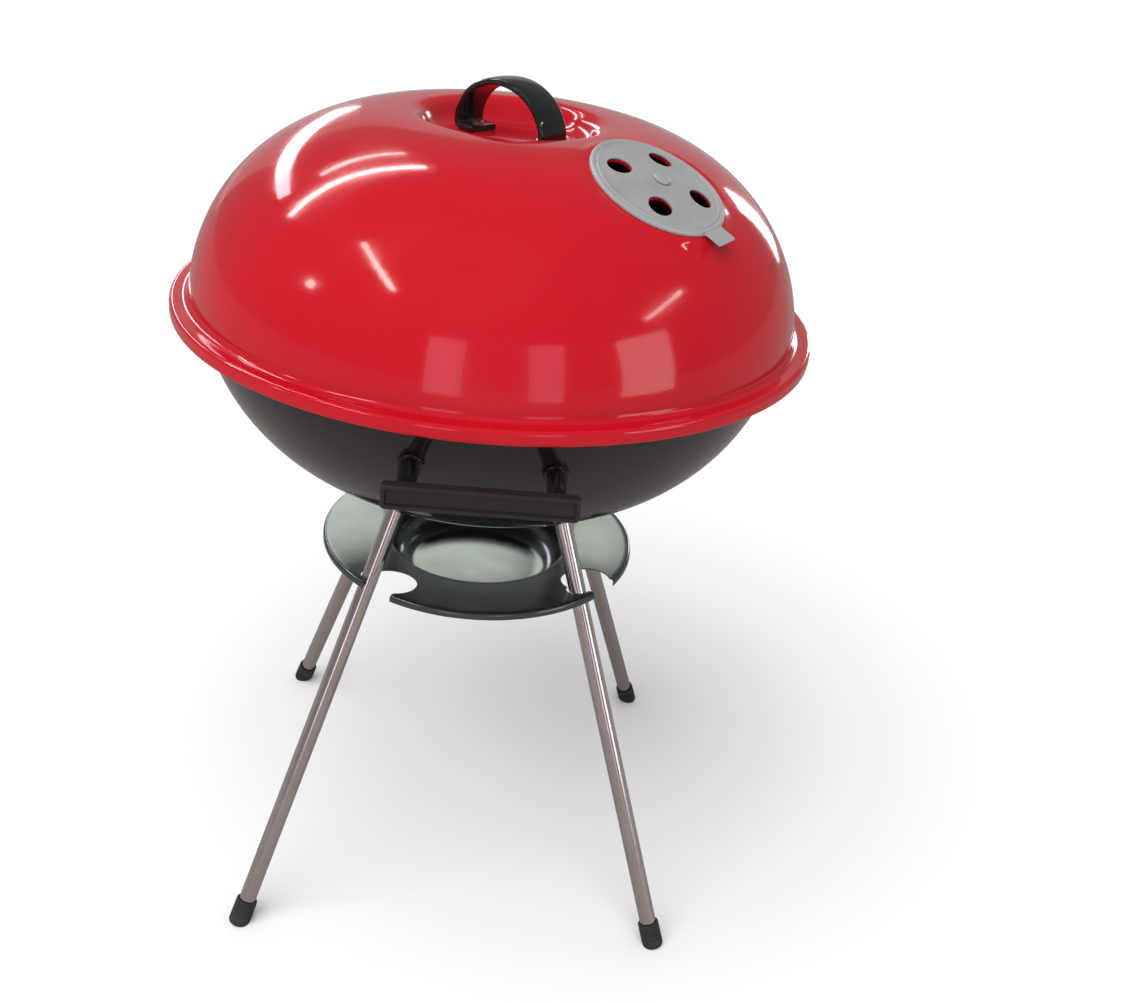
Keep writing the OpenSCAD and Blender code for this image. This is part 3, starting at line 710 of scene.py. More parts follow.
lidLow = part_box("lid_shell")[0]
ventJoint = joints["lid_damper_turn"]
ventAxis = Vector(ventJoint["axis"])
lidTurn = math.atan2(ventAxis.y, ventAxis.x)
lidSizes = {
    "lipRadius": 235 * mm,
    "lipHeight": 10 * mm,
    "flangeWidth": 13 * mm,
    "rise": 134 * mm,
    "crestRadius": 72 * mm,
    "recessDepth": 16 * mm,
    "recessSlope": 62,
    "wall": 1.2 * mm,
    "lean": 3,
    "join": 52,
    "flangeFillet": 5 * mm,
    "lipRound": 3 * mm,
}
ventSizes = {
    "discRadius": 48.5 * mm,
    "padMargin": 2.5 * mm,
    "holeRadius": 8.5 * mm,
    "roundRadius": 29 * mm,
    "rivetRadius": 3 * mm,
    "sheet": 1.2 * mm,
    "edgeHeight": 3 * mm,
    "lift": 0.3 * mm,
    "domeHeight": 5.5 * mm,
    "openTurn": math.radians(-2),
    "tabTurn": math.radians(9),
    "tabWidth": 20 * mm,
    "tabReach": 12 * mm,
    "tabLift": 1.3 * mm,
    "tailGap": 0.15 * mm,
}
archSizes = {
    "radius": 43 * mm,
    "height": 41.5 * mm,
    "width": 26 * mm,
    "thickness": 4.5 * mm,
    "foot": 14 * mm,
    "edge": 1.5 * mm,
    "crown": 0.9 * mm,
    "screwReach": 31.5 * mm,
}
fixings = {"boltRadius": 2.5 * mm, "slip": 0.2 * mm, "washer": 1 * mm, "nut": 4 * mm}
boltBore = fixings["boltRadius"] + fixings["slip"]
domeHeight = ventSizes["domeHeight"]
ventDomeRadius = (ventSizes["discRadius"] ** 2 + domeHeight**2) / (2 * domeHeight)
lidFrame = axisFrame((0, 0, 0), (0, 0, 1), (math.cos(lidTurn), math.sin(lidTurn), 0))
ventFrame = axisFrame(ventJoint["pos_m"], ventAxis, (ventAxis.x, ventAxis.y, -1))
flangeZ = lidLow.z + lidSizes["lipHeight"]
crestZ = flangeZ + lidSizes["rise"]
recessZ = crestZ - lidSizes["recessDepth"]
screwFrames = [lidFrame @ Matrix.Translation((x * archSizes["screwReach"], 0, recessZ)) for x in (-1, 1)]


def lidPath():
    # the lid's outer face, from the middle of the recess to the end of the lip
    s = lidSizes
    wallRadius = s["lipRadius"] - s["flangeWidth"]
    first, wallArc, second, crownArc = arcPair(
        wallRadius, flangeZ, wallRadius - s["crestRadius"], s["rise"], s["lean"], s["join"]
    )
    total = s["recessDepth"] / (1 - math.cos(math.radians(s["recessSlope"])))
    edgeRadius = total * 0.45
    footRadius = total - edgeRadius
    edge = (s["crestRadius"], crestZ - edgeRadius)
    slope = math.radians(90 + s["recessSlope"])
    foot = (edge[0] + total * math.cos(slope), edge[1] + total * math.sin(slope))
    fillet = s["flangeFillet"]
    startTurn = math.degrees(math.asin(math.sin(math.radians(s["lean"])) + fillet / wallArc))
    turn = math.radians(startTurn)
    base = (first[0] + wallArc * math.cos(turn), first[1] + wallArc * math.sin(turn))
    filletCentre = (base[0] + fillet * math.cos(turn), flangeZ + fillet)
    lip, low = s["lipRadius"], lidLow.z
    corner = s["lipRound"]
    hem = 1.6 * mm
    return joinPaths(
        linePoints((0, recessZ), (foot[0], recessZ), 14),
        arcPoints(foot, footRadius, 270, 270 + s["recessSlope"], 12),
        arcPoints(edge, edgeRadius, 90 + s["recessSlope"], 90, 12),
        arcPoints(second, crownArc, 90, s["join"], 34),
        arcPoints(first, wallArc, s["join"], startTurn, 38),
        arcPoints(filletCentre, fillet, 180 + startTurn, 270, 8),
        linePoints((filletCentre[0], flangeZ), (lip - corner, flangeZ), 3),
        arcPoints((lip - corner, flangeZ - corner), corner, 90, 0, 8),
        linePoints((lip, flangeZ - corner), (lip, low + hem), 3),
        arcPoints((lip - hem, low + hem), hem, 0, -160, 8),
    )


def ventTurns(count, crowding, width):
    # angles round the lid, closer together near the vent
    weights = []
    for i in range(count):
        angle = 2 * math.pi * i / count
        away = (angle - lidTurn + math.pi) % (2 * math.pi) - math.pi
        weights.append(1 / (1 + crowding * math.exp(-((away / width) ** 2))))
    scale = 2 * math.pi / sum(weights)
    turns, angle = [], 0.0
    for weight in weights:
        turns.append(angle)
        angle += weight * scale
    return turns


def ventDomeZ(reach, lift):
    # height of the shallow dome that the pad and the disc share, moved off the pad by lift
    return math.sqrt((ventDomeRadius + lift) ** 2 - reach**2) - ventDomeRadius


def makeLid():
    path = lidPath()
    outline = sheetOutline(path, lidSizes["wall"], -1)
    turns = ventTurns(300, 1.6, 0.5)
    verts, faces = latheMesh(outline, turns)
    toVent = ventFrame.inverted()
    padRadius = ventSizes["discRadius"] + ventSizes["padMargin"]
    # the outer face is the outline up to where the inner face, as long as the path, begins
    outerVerts = 1 + (len(outline) - len(path) - 1) * len(turns)
    # the pad that the vent disc turns on, pressed into both faces of the sheet
    pressed = []
    for i, vert in enumerate(verts):
        local = toVent @ Vector(vert)
        reach = math.hypot(local.x, local.y)
        if reach < padRadius + 10 * mm and abs(local.z) < 30 * mm:
            level = ventDomeZ(reach, 0.0 if i < outerVerts else -lidSizes["wall"])
            keep = smoothStep(padRadius - 1 * mm, padRadius + 6 * mm, reach)
            local.z = level + (local.z - level) * keep
            vert = ventFrame @ local
        pressed.append(vert)
    lid = meshObject("lidShell", pressed, faces, 35)
    cuts = [
        holeCutter("lidHoles", ventFrame, ventSizes["holeRadius"], ventSizes["roundRadius"], 20 * mm),
        boreCutter("lidRivetHole", ventFrame, ventSizes["rivetRadius"], 20 * mm),
    ]
    cuts += [boreCutter("lidScrewHole", place, boltBore, 20 * mm) for place in screwFrames]
    return cutWith(lid, cuts, 35)


def ventRivet(name, place, sheet):
    # a domed head over the disc and a spread tail behind the sheet
    s = ventSizes
    seat = s["sheet"] + 2 * s["lift"]
    headRadius, headHeight = 2 * s["rivetRadius"], 2.4 * mm
    dome = [
        (headRadius * math.cos(t), seat + headHeight * (0.25 + 0.75 * math.sin(t)))
        for t in [math.pi / 2 * i / 8 for i in range(9)]
    ]
    tail = 0.8 * headRadius
    outline = (
        [(0, -sheet - 1.4 * mm), (tail * 0.8, -sheet - 1.4 * mm), (tail, -sheet - 0.9 * mm), (tail, -sheet)]
        + [(s["rivetRadius"], -sheet), (s["rivetRadius"], seat), (headRadius * 0.97, seat)]
        + dome[:-1]
        + [(0, seat + headHeight)]
    )
    return meshObject(name, *turnedRod(place, outline, 40), 35)


def makeLidDamper():
    # a domed disc with a rolled edge, four holes and a flat tab at its edge
    s = ventSizes
    lift, radius, wall = s["lift"], s["discRadius"], s["sheet"]
    start = radius - 6.6 * mm
    edgeZ = ventDomeZ(radius, lift)
    rimTop = edgeZ + s["edgeHeight"]
    sheetZ = ventDomeZ(start, lift + wall)
    path = joinPaths(
        [(start * i / 12, ventDomeZ(start * i / 12, lift + wall)) for i in range(13)],
        arcPoints((start + 0.3 * mm, sheetZ + 1.8 * mm), 1.8 * mm, 262, 318, 6),
        arcPoints((radius - 2.4 * mm, rimTop - 2.4 * mm), 2.4 * mm, 128, 0, 12),
        linePoints((radius, rimTop - 2.4 * mm), (radius, edgeZ + 0.3 * mm), 1),
    )
    outline = sheetOutline(path, wall * 0.75, -1)
    place = ventFrame @ Matrix.Rotation(s["openTurn"], 4, "Z")
    verts, faces = latheMesh(outline, evenTurns(144))
    disc = meshObject("lidVentDisc", [place @ Vector(v) for v in verts], faces, 40)
    cuts = [
        holeCutter("discHoles", place, s["holeRadius"], s["roundRadius"], 20 * mm),
        boreCutter("discRivetHole", place, s["rivetRadius"] + 0.05 * mm, 20 * mm),
    ]
    cutWith(disc, cuts, 40)
    # the flat tab, a little lower than the rolled edge
    tabPlace = place @ Matrix.Rotation(s["tabTurn"], 4, "Z")
    half, reach = s["tabWidth"] / 2, radius + s["tabReach"]
    low, high, edge = edgeZ + s["tabLift"], edgeZ + s["tabLift"] + wall, 0.3 * mm
    tabLoops = []
    for x, width in (
        (radius - wall * 0.9, half * 1.1),
        (radius + 1.5 * mm, half),
        (reach - 1.5 * mm, half),
        (reach - 0.5 * mm, half * 0.97),
        (reach, half * 0.9),
    ):
        loop = [
            (x, -width + edge, low), (x, width - edge, low),
            (x, width, low + edge), (x, width, high - edge),
            (x, width - edge, high), (x, -width + edge, high),
            (x, -width, high - edge), (x, -width, low + edge),
        ]
        tabLoops.append([tabPlace @ Vector(v) for v in loop])
    tab = meshObject("ventTab", *loftMesh(tabLoops), 40)
    return joinWith(disc, tab, 40)


def archPath():
    # centre line of the strap: foot, bend, arch, bend, foot, in the arch's own plane
    s = archSizes
    middle = s["radius"] - s["thickness"] / 2
    level = s["thickness"] / 2
    bend = 4 * mm
    top = s["height"] - s["thickness"] / 2
    spring = level + bend
    footEnd = s["radius"] - s["thickness"] - s["foot"]
    right = joinPaths(
        linePoints((footEnd, level), (middle - bend, level), 5),
        arcPoints((middle - bend, level + bend), bend, -90, 0, 8),
        [
            (middle * math.cos(t), spring + (top - spring) * math.sin(t))
            for t in [math.pi / 2 * i / 26 for i in range(27)]
        ],
    )
    left = [(-x, z) for x, z in right[:-1]]
    return right + left[::-1]


def strapSection():
    # cross-section of the strap, across its width and through its thickness, with a slightly crowned face
    s = archSizes
    half, deep, edge = s["width"] / 2, s["thickness"] / 2, s["edge"]
    section = []
    for cornerX, cornerZ, start in ((1, 1, 0), (-1, 1, 90), (-1, -1, 180), (1, -1, 270)):
        centre = (cornerX * (half - edge), cornerZ * (deep - edge))
        section += arcPoints(centre, edge, start, start + 90, 5)
        if start == 0:
            across = [x / 4 for x in (3, 2, 1, 0, -1, -2, -3)]
            section += [(half * x, deep + s["crown"] * math.cos(x * math.pi / 2)) for x in across]
    return section


def makeLidHandle():
    path, section = archPath(), strapSection()
    loops = []
    for i, (x, z) in enumerate(path):
        before, after = neighbours(path, i)
        along = Vector((after[0] - before[0], 0, after[1] - before[1])).normalized()
        out = Vector((along.z, 0, -along.x))
        shrink = 0.9 if i in (0, len(path) - 1) else 1.0
        centre = Vector((x, 0, recessZ + z))
        loops.append([lidFrame @ (centre + (Vector((0, u, 0)) + out * v) * shrink) for u, v in section])
    handle = meshObject("lidHandle", *loftMesh(loops), 50)
    cuts = [boreCutter("handleHole", place, boltBore, 16 * mm) for place in screwFrames]
    return cutWith(handle, cuts, 50)


finishPiece(makeLid(), "lid", "lid_enamel", lidRed, "lid_shell")
print("lid made")
finishPiece(makeLidHandle(), "lid", "lid_handle_plastic", handleGloss, "lid_handle")
finishPiece(makeLidDamper(), "lid_damper", "damper_steel", ventGrey, "lid_damper")
lidRivet = ventRivet("lidVentRivet", ventFrame, lidSizes["wall"] + ventSizes["tailGap"])
finishPiece(lidRivet, "lid", "damper_steel", ventGrey, "lid_vent_rivet")

screwSpots = [place.translation for place in screwFrames]
up, down = Vector((0, 0, 1)), Vector((0, 0, -1))
underLid = lidSizes["wall"]
boltHead = {
    "Head Radius": 4.6 * mm,
    "Head Top Radius": 3.2 * mm,
    "Head Height": 2.4 * mm,
    "Shank Radius": fixings["boltRadius"],
}
screwLength = archSizes["thickness"] + underLid + fixings["washer"] + fixings["nut"] + 2 * mm
addFasteners(
    "lidHandleScrews",
    "lid_handle_screws",
    "lid",
    [(p + up * archSizes["thickness"], up) for p in screwSpots],
    boltHead | {"Shank Length": screwLength},
)
washerOutline = [
    (2.75 * mm, 0.1 * mm), (2.85 * mm, 0), (5.85 * mm, 0), (6 * mm, 0.15 * mm), (6 * mm, 0.85 * mm),
    (5.85 * mm, 1 * mm), (2.85 * mm, 1 * mm), (2.75 * mm, 0.9 * mm), (2.75 * mm, 0.1 * mm),
]
washerFrames = [Matrix.Translation(p + down * (underLid + fixings["washer"])) for p in screwSpots]
lidWashers = joinParts(
    "lidHandleWashers", [turnedRod(place, washerOutline, 36) for place in washerFrames], 30
)
finishPiece(lidWashers, "lid", "zinc_steel", zincPlate, "lid_handle_washers")
nutSeat = underLid + fixings["washer"] + 0.02 * mm
addFasteners(
    "lidHandleNuts",
    "lid_handle_nuts",
    "lid",
    [(p + down * nutSeat, down) for p in screwSpots],
    {
        "Head Radius": 4.8 * mm,
        "Head Top Radius": 4.3 * mm,
        "Head Height": fixings["nut"],
        "Head Sides": 6,
        "Recess Width": 0.4 * mm,
        "Recess Reach": 0.3 * mm,
        "Shank Radius": 1.2 * mm,
        "Shank Length": 0.02 * mm,
    },
)
print("lid fittings made")


# bowl

bowlLow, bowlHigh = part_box("bowl")
rimZ = bowlHigh.z
bowlSizes = {
    "wallRadius": 215 * mm,
    "wall": 1.2 * mm,
    "flatRadius": 50 * mm,
    "beadRadius": 3.5 * mm,
    "lean": 4.4,
    "join": 62,
    "holeRadius": 9 * mm,
    "roundRadius": 27 * mm,
}
bowlDepth = rimZ - bowlLow.z
bowlRun = bowlSizes["wallRadius"] - bowlSizes["flatRadius"]
bowlFirst, bowlWallArc, bowlSecond, bowlBaseArc = arcPair(
    bowlSizes["wallRadius"], 0.0, bowlRun, bowlDepth, bowlSizes["lean"], bowlSizes["join"]
)


def bowlRadiusAt(z):
    # outer radius on the wall arc
    lift = (rimZ - z - bowlFirst[1]) / bowlWallArc
    return bowlFirst[0] + bowlWallArc * math.sqrt(max(0.0, 1 - lift * lift))


def bowlUnderZ(radius):
    # height of the underside on the base arc
    away = max(0.0, radius - bowlSecond[0])
    return rimZ - bowlSecond[1] - math.sqrt(bowlBaseArc**2 - away**2)


def makeBowl():
    s = bowlSizes

    def flipped(points):
        return [(r, rimZ - h) for r, h in points][::-1]

    wallStart = math.degrees(math.asin(math.sin(math.radians(s["lean"])) + 3.4 * mm / bowlWallArc))
    bead = s["beadRadius"]
    beadCentre = (s["wallRadius"] + 2 * bead, rimZ - bead)
    turn = math.radians(wallStart)
    wallTop = (
        bowlFirst[0] + bowlWallArc * math.cos(turn), rimZ - bowlFirst[1] - bowlWallArc * math.sin(turn)
    )
    under = rimZ - s["wall"]
    bend = under - wallTop[1]
    wallPoints = arcPoints(bowlFirst, bowlWallArc, wallStart, s["join"], 40)
    basePoints = arcPoints(bowlSecond, bowlBaseArc, s["join"], 90, 26)
    path = joinPaths(
        linePoints((0, bowlLow.z), (s["flatRadius"], bowlLow.z), 10),
        flipped(wallPoints + basePoints[1:]),
        arcPoints((wallTop[0] + bend, wallTop[1]), bend, 180, 90, 6),
        linePoints((wallTop[0] + bend, under), (beadCentre[0], under), 2),
        arcPoints(beadCentre, bead - s["wall"], 90, -150, 14),
    )
    bowl = sheetPiece("bowlShell", path, s["wall"], 1, 240, 35)
    base = Matrix.Translation((0, 0, bowlLow.z))
    cuts = [
        holeCutter("bowlHoles", base, s["holeRadius"], s["roundRadius"], 10 * mm),
        boreCutter("bowlRivetHole", base, ventSizes["rivetRadius"], 10 * mm),
    ]
    cuts += [boreCutter("boltHole", place, boltBore, 30 * mm) for place in handlePlaces(-1) + handlePlaces(1)]
    return cutWith(bowl, cuts, 35)


# side handles

barLow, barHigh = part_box("side_handle_front")
barSizes = {
    "corner": 3 * mm,
    "lip": 2.6 * mm,
    "pocket": 2.6 * mm,
    "edge": 0.9 * mm,
    "spacerPitch": 92 * mm,
    "spacerRadius": 6.5 * mm,
    "collarRadius": 8.5 * mm,
    "collarLength": 6 * mm,
}
barZ = (barLow.z + barHigh.z) / 2
barFace = -barHigh.y
barLength, barThickness, barHeight = barHigh - barLow


def handlePlaces(side):
    # frames at the bowl's wall on both bolts of a handle, Z pointing outwards
    half = barSizes["spacerPitch"] / 2
    seat = math.sqrt(bowlRadiusAt(barZ) ** 2 - half**2)
    return [axisFrame((x * half, side * seat, barZ), (0, side, 0), (0, 0, 1)) for x in (-1, 1)]


def roundedRectangle(width, height, corner):
    points = []
    for x, z, start in ((1, 1, 0), (-1, 1, 90), (-1, -1, 180), (1, -1, 270)):
        centre = (x * (width / 2 - corner), z * (height / 2 - corner))
        points += arcPoints(centre, corner, start, start + 90, 5)
    return points


def makeBar(name, side):
    # a moulded bar with a raised border round a shallow face pocket
    s = barSizes
    edge, lip = s["edge"], s["lip"]
    face, pocket = barThickness, barThickness - s["pocket"]
    turns = [math.pi / 2 * i / 4 for i in range(5)]
    # pairs of inset and depth from the back face
    steps = [(edge * (1 - math.sin(t)), edge * (1 - math.cos(t))) for t in turns]
    steps += [(edge * (1 - math.cos(t)), face - edge * (1 - math.sin(t))) for t in turns]
    steps += [
        (lip - 0.4 * mm, face), (lip - 0.1 * mm, face - 0.1 * mm), (lip, face - 0.4 * mm),
        (lip + 0.5 * mm, pocket + 0.7 * mm), (lip + 0.8 * mm, pocket + 0.2 * mm), (lip + 1.3 * mm, pocket),
    ]
    loops = []
    for inset, depth in steps:
        corner = max(s["corner"] - inset, 0.4 * mm)
        y = side * (barFace + depth)
        outline = roundedRectangle(barLength - 2 * inset, barHeight - 2 * inset, corner)
        loops.append([Vector((x, y, barZ + z)) for x, z in outline])
    bar = meshObject(name, *loftMesh(loops), 35)
    cuts = []
    for place in handlePlaces(side):
        away = barFace - abs(place.translation.y)
        hole = place @ Matrix.Translation((0, 0, away))
        cuts.append(boreCutter("barHole", hole, boltBore, 8 * mm))
    return cutWith(bar, cuts, 35)


def makeSpacers(name, side):
    # turned spacers whose inner ends follow the bowl's wall
    body, collar, seat = barSizes["spacerRadius"], barSizes["collarRadius"], barSizes["collarLength"]
    neck = body * 0.97
    parts = []
    for place in handlePlaces(side):
        length = barFace - abs(place.translation.y)
        outline = [
            (boltBore, -0.1 * mm), (collar - 0.4 * mm, -0.1 * mm), (collar, 0.0), (collar, seat * 0.75),
            (collar - 0.25 * mm, seat * 0.9), (collar - 0.7 * mm, seat), (body + 0.3 * mm, seat),
            (body, seat + 0.3 * mm), (body, length * 0.55), (neck, length - 1 * mm),
            (neck - 0.5 * mm, length - 0.1 * mm), (body - 1 * mm, length), (boltBore, length),
            (boltBore, -0.1 * mm),
        ]
        verts, faces = turnedRod(place, outline, 36)
        seated = []
        for v in verts:
            reach = (place.inverted() @ v).z
            if reach < seat:
                radius = bowlRadiusAt(v.z)
                wallY = side * math.sqrt(radius**2 - v.x**2)
                slide = 1 - max(reach, 0.0) / seat
                v = v + Vector((0, (wallY - place.translation.y) * slide, 0))
            seated.append(v)
        parts.append((seated, faces))
    return joinParts(name, parts, 40)


finishPiece(makeBowl(), "stand", "bowl_enamel", bowlBlack, "bowl")
for sideName, side in (("front", -1), ("rear", 1)):
    bar = makeBar(f"sideHandle_{sideName}", side)
    finishPiece(bar, "stand", "handle_bar_plastic", barPlastic, f"side_handle_{sideName}")
    spacers = makeSpacers(f"handleSpacers_{sideName}", side)
    finishPiece(spacers, "stand", "spacer_plastic", handleGloss, f"handle_spacers_{sideName}")

boltSeat = 5 * mm
boltSpots = [
    (place @ Vector((0, 0, -boltSeat)), place.col[2].xyz * -1) for place in handlePlaces(-1) + handlePlaces(1)
]
handleSeat = barFace - abs(handlePlaces(1)[0].translation.y)
boltLength = boltSeat + handleSeat + 3.8 * mm
boltSize = boltHead | {"Shank Length": boltLength}
addFasteners("sideHandleBolts", "side_handle_bolts", "stand", boltSpots, boltSize)
print("bowl and side handles made")


# bottom damper

damperSizes = {
    "discRadius": 44 * mm,
    "sheet": 1.2 * mm,
    "tabWidth": 16 * mm,
    "tabReach": 60 * mm,
    "tabDrop": 9 * mm,
}


def makeBottomDamper():
    # a disc with a stiffening ring under the bowl, with a tab that turns down
    s = damperSizes
    top = bowlLow.z - ventSizes["lift"]
    radius, wall = s["discRadius"], s["sheet"]
    path = joinPaths(
        linePoints((0, top), (radius - 3 * mm, top), 10),
        arcPoints((radius - 3 * mm, top - 3 * mm), 3 * mm, 90, 20, 8),
    )
    disc = sheetPiece("bottomVentDisc", path, wall, -1, 120, 40)
    base = Matrix.Translation((0, 0, top))
    cuts = [
        holeCutter("damperHoles", base, bowlSizes["holeRadius"], bowlSizes["roundRadius"], 10 * mm),
        boreCutter("damperRivetHole", base, ventSizes["rivetRadius"] + 0.05 * mm, 10 * mm),
    ]
    cutWith(disc, cuts, 40)
    bend = 2.5 * mm
    middle = top - wall / 2 - 0.15 * mm
    line = joinPaths(
        linePoints((radius - 8 * mm, middle), (s["tabReach"] - bend, middle), 4),
        arcPoints((s["tabReach"] - bend, middle - bend), bend, 90, 0, 6),
        linePoints((s["tabReach"], middle - bend), (s["tabReach"], middle - s["tabDrop"]), 4),
    )
    loops = []
    half, deep = s["tabWidth"] / 2, wall / 2 - 0.02 * mm
    for i, (x, z) in enumerate(line):
        before, after = neighbours(line, i)
        along = Vector((after[0] - before[0], 0, after[1] - before[1])).normalized()
        out = Vector((-along.z, 0, along.x))
        width = half * (0.8 if i == len(line) - 1 else 1.0)
        corners = ((-1, -1), (1, -1), (1, 1), (-1, 1))
        loops.append([Vector((x, y * width, z)) + out * t * deep for y, t in corners])
    return joinWith(disc, meshObject("damperTab", *loftMesh(loops), 40), 40)


finishPiece(makeBottomDamper(), "bottom_damper", "damper_steel", ventGrey, "bottom_damper")
underFrame = axisFrame((0, 0, bowlLow.z), (0, 0, -1), (1, 0, 0))
bottomRivet = ventRivet("bottomVentRivet", underFrame, bowlSizes["wall"])
finishPiece(bottomRivet, "stand", "damper_steel", ventGrey, "bottom_vent_rivet")
print("bottom damper made")


# grates


def makeGrate(name, node, ringWire, rodWire, pitch, material):
    low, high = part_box(node)
    ringRadius = high.x - ringWire
    values = {
        "Ring Radius": ringRadius,
        "Ring Wire": ringWire,
        "Rod Wire": rodWire,
        "Rod Pitch": pitch,
        "Rod Count": 2 * int((ringRadius - 2 * ringWire) / pitch) + 1,
        "Bar Offset": high.x / 2,
        "Height": low.z + ringWire,
        "Material": material,
    }
    return runTree(name, grateTree, values)


def bentWire(path, radius):
    # a round wire along a path of points that lies in one upright plane
    section = [(radius * math.cos(t), radius * math.sin(t), 0) for t in evenTurns(12)]
    loops = []
    for i, point in enumerate(path):
        before, after = neighbours(path, i)
        place = axisFrame(point, after - before, (0, 1, 0))
        loops.append([place @ Vector(v) for v in section])
    return loftMesh(loops)


def makeLifts():
    low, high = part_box("cooking_grate_lifts")
    wire = 2 * mm
    half, bend = high.x - wire, 6 * mm
    top = high.z - wire
    parts = []
    for side in (-1, 1):
        y = side * (high.y - wire)
        outline = joinPaths(
            linePoints((half, low.z - 0.4 * mm), (half, top - bend), 3),
            arcPoints((half - bend, top - bend), bend, 0, 90, 7),
            linePoints((half - bend, top), (bend - half, top), 4),
            arcPoints((bend - half, top - bend), bend, 90, 180, 7),
            linePoints((-half, top - bend), (-half, low.z - 0.4 * mm), 3),
        )
        parts.append(bentWire([Vector((x, y, z)) for x, z in outline], wire))
    return joinParts("cookingGrateLifts", parts, 50)


coalGrate = makeGrate("charcoalGrate", "charcoal_grate", 3 * mm, 2 * mm, 22 * mm, bareWire)
finishPiece(coalGrate, "charcoal_grate", "charcoal_grate_steel", bareWire, "charcoal_grate")
cookGrate = makeGrate("cookingGrate", "cooking_grate", 3 * mm, 2 * mm, 13 * mm, platedWire)
finishPiece(cookGrate, "cooking_grate", "cooking_grate_chrome", platedWire, "cooking_grate")
finishPiece(makeLifts(), "cooking_grate", "cooking_grate_chrome", platedWire, "cooking_grate_lifts")
print("grates made")


# legs

footRadius = Vector(mounts["foot_rest"]["pos_m"]).length
legSizes = {
    "splay": math.radians(24),
    "radius": 6.5 * mm,
    "bottom": 3.5 * mm,
    "endGap": 3 * mm,
    "socketLength": 14 * mm,
    "socketRadius": 8.1 * mm,
    "slip": 0.2 * mm,
    "screwDrop": 8.5 * mm,
    "capRadius": 8.4 * mm,
    "capLength": 20 * mm,
    "capSole": 2 * mm,
    "capRound": 3 * mm,
}
legAngles = {"front_left": 225, "front_right": 315, "rear_left": 135, "rear_right": 45}
legSeat = bowlUnderZ(footRadius - bowlLow.z * math.tan(legSizes["splay"])) / math.cos(legSizes["splay"])


def legFrame(angle):
    # a frame at the foot, Z up along the leg
    turn = math.radians(angle)
    out = Vector((math.cos(turn), math.sin(turn), 0))
    along = -out * math.sin(legSizes["splay"]) + Vector((0, 0, math.cos(legSizes["splay"])))
    return axisFrame(out * footRadius, along, out)


def makeLeg(name, place):
    s = legSizes
    low, high = s["bottom"], legSeat - s["endGap"]
    radius, chamfer = s["radius"], 0.5 * mm
    outline = [(0, low), (radius - chamfer, low), (radius, low + chamfer)]
    outline += [(radius, low + (high - low) * i / 24) for i in range(1, 24)]
    outline += [(radius, high - chamfer), (radius - chamfer, high), (0, high)]
    return meshObject(name, *turnedRod(place, outline, 40), 30)


def makeCap(name, place):
    # a rubber cup with a rolled mouth, two shallow grooves and a level sole
    s = legSizes
    radius, length, sole, corner = s["capRadius"], s["capLength"], -s["capSole"], s["capRound"]
    bore = s["radius"] + 0.05 * mm
    outline = [(0, sole), (radius - corner, sole)]
    outline += arcPoints((radius - corner, sole + corner), corner, -90, 0, 8)[1:]
    waist = radius - 0.35 * mm
    for groove in (6.5 * mm, 9.5 * mm):
        outline += [
            (radius, groove - 0.7 * mm), (waist, groove - 0.3 * mm), (waist, groove + 0.3 * mm),
            (radius, groove + 0.7 * mm),
        ]
    outline += [(radius - 0.1 * mm, length - 2.2 * mm), (radius - 0.1 * mm, length - 0.9 * mm)]
    outline += arcPoints((radius - 0.9 * mm, length - 0.8 * mm), 0.8 * mm, 0, 180, 6)[:-1]
    outline += [(bore, length - 0.9 * mm), (bore, s["bottom"]), (0, s["bottom"])]
    verts, faces = turnedRod(place, outline, 48)
    verts = [Vector((v.x, v.y, max(v.z, 0.0))) for v in verts]
    return meshObject(name, verts, faces, 50)


def makeSocket(name, place):
    # a short welded cup whose upper edge follows the bowl's underside
    s = legSizes
    outer, bore = s["socketRadius"], s["radius"] + s["slip"]
    low = legSeat - s["socketLength"]
    outline = [
        (bore, low), (outer - 0.6 * mm, low), (outer - 0.2 * mm, low + 0.2 * mm), (outer, low + 0.7 * mm),
        (outer, legSeat - 3 * mm), (outer + 0.5 * mm, legSeat - 1.5 * mm), (outer + 1.6 * mm, legSeat),
        (bore, legSeat), (bore, low),
    ]
    verts, faces = turnedRod(place, outline, 40)
    seated = []
    along = place.col[2].xyz
    for v in verts:
        reach = (place.inverted() @ v).z
        weight = smoothStep(legSeat - 6 * mm, legSeat, reach)
        if weight > 0:
            target = v.copy()
            for step in range(6):
                gap = bowlUnderZ(math.hypot(target.x, target.y)) + 0.4 * mm - target.z
                target += along * gap / along.z
            v = v.lerp(target, weight)
        seated.append(v)
    socket = meshObject(name, seated, faces, 40)
    hole = place @ Matrix.Translation((0, -outer, legSeat - s["screwDrop"]))
    hole = hole @ Matrix.Rotation(math.pi / 2, 4, "X")
    return cutWith(socket, [boreCutter("socketHole", hole, 2.1 * mm, 6 * mm)], 40)


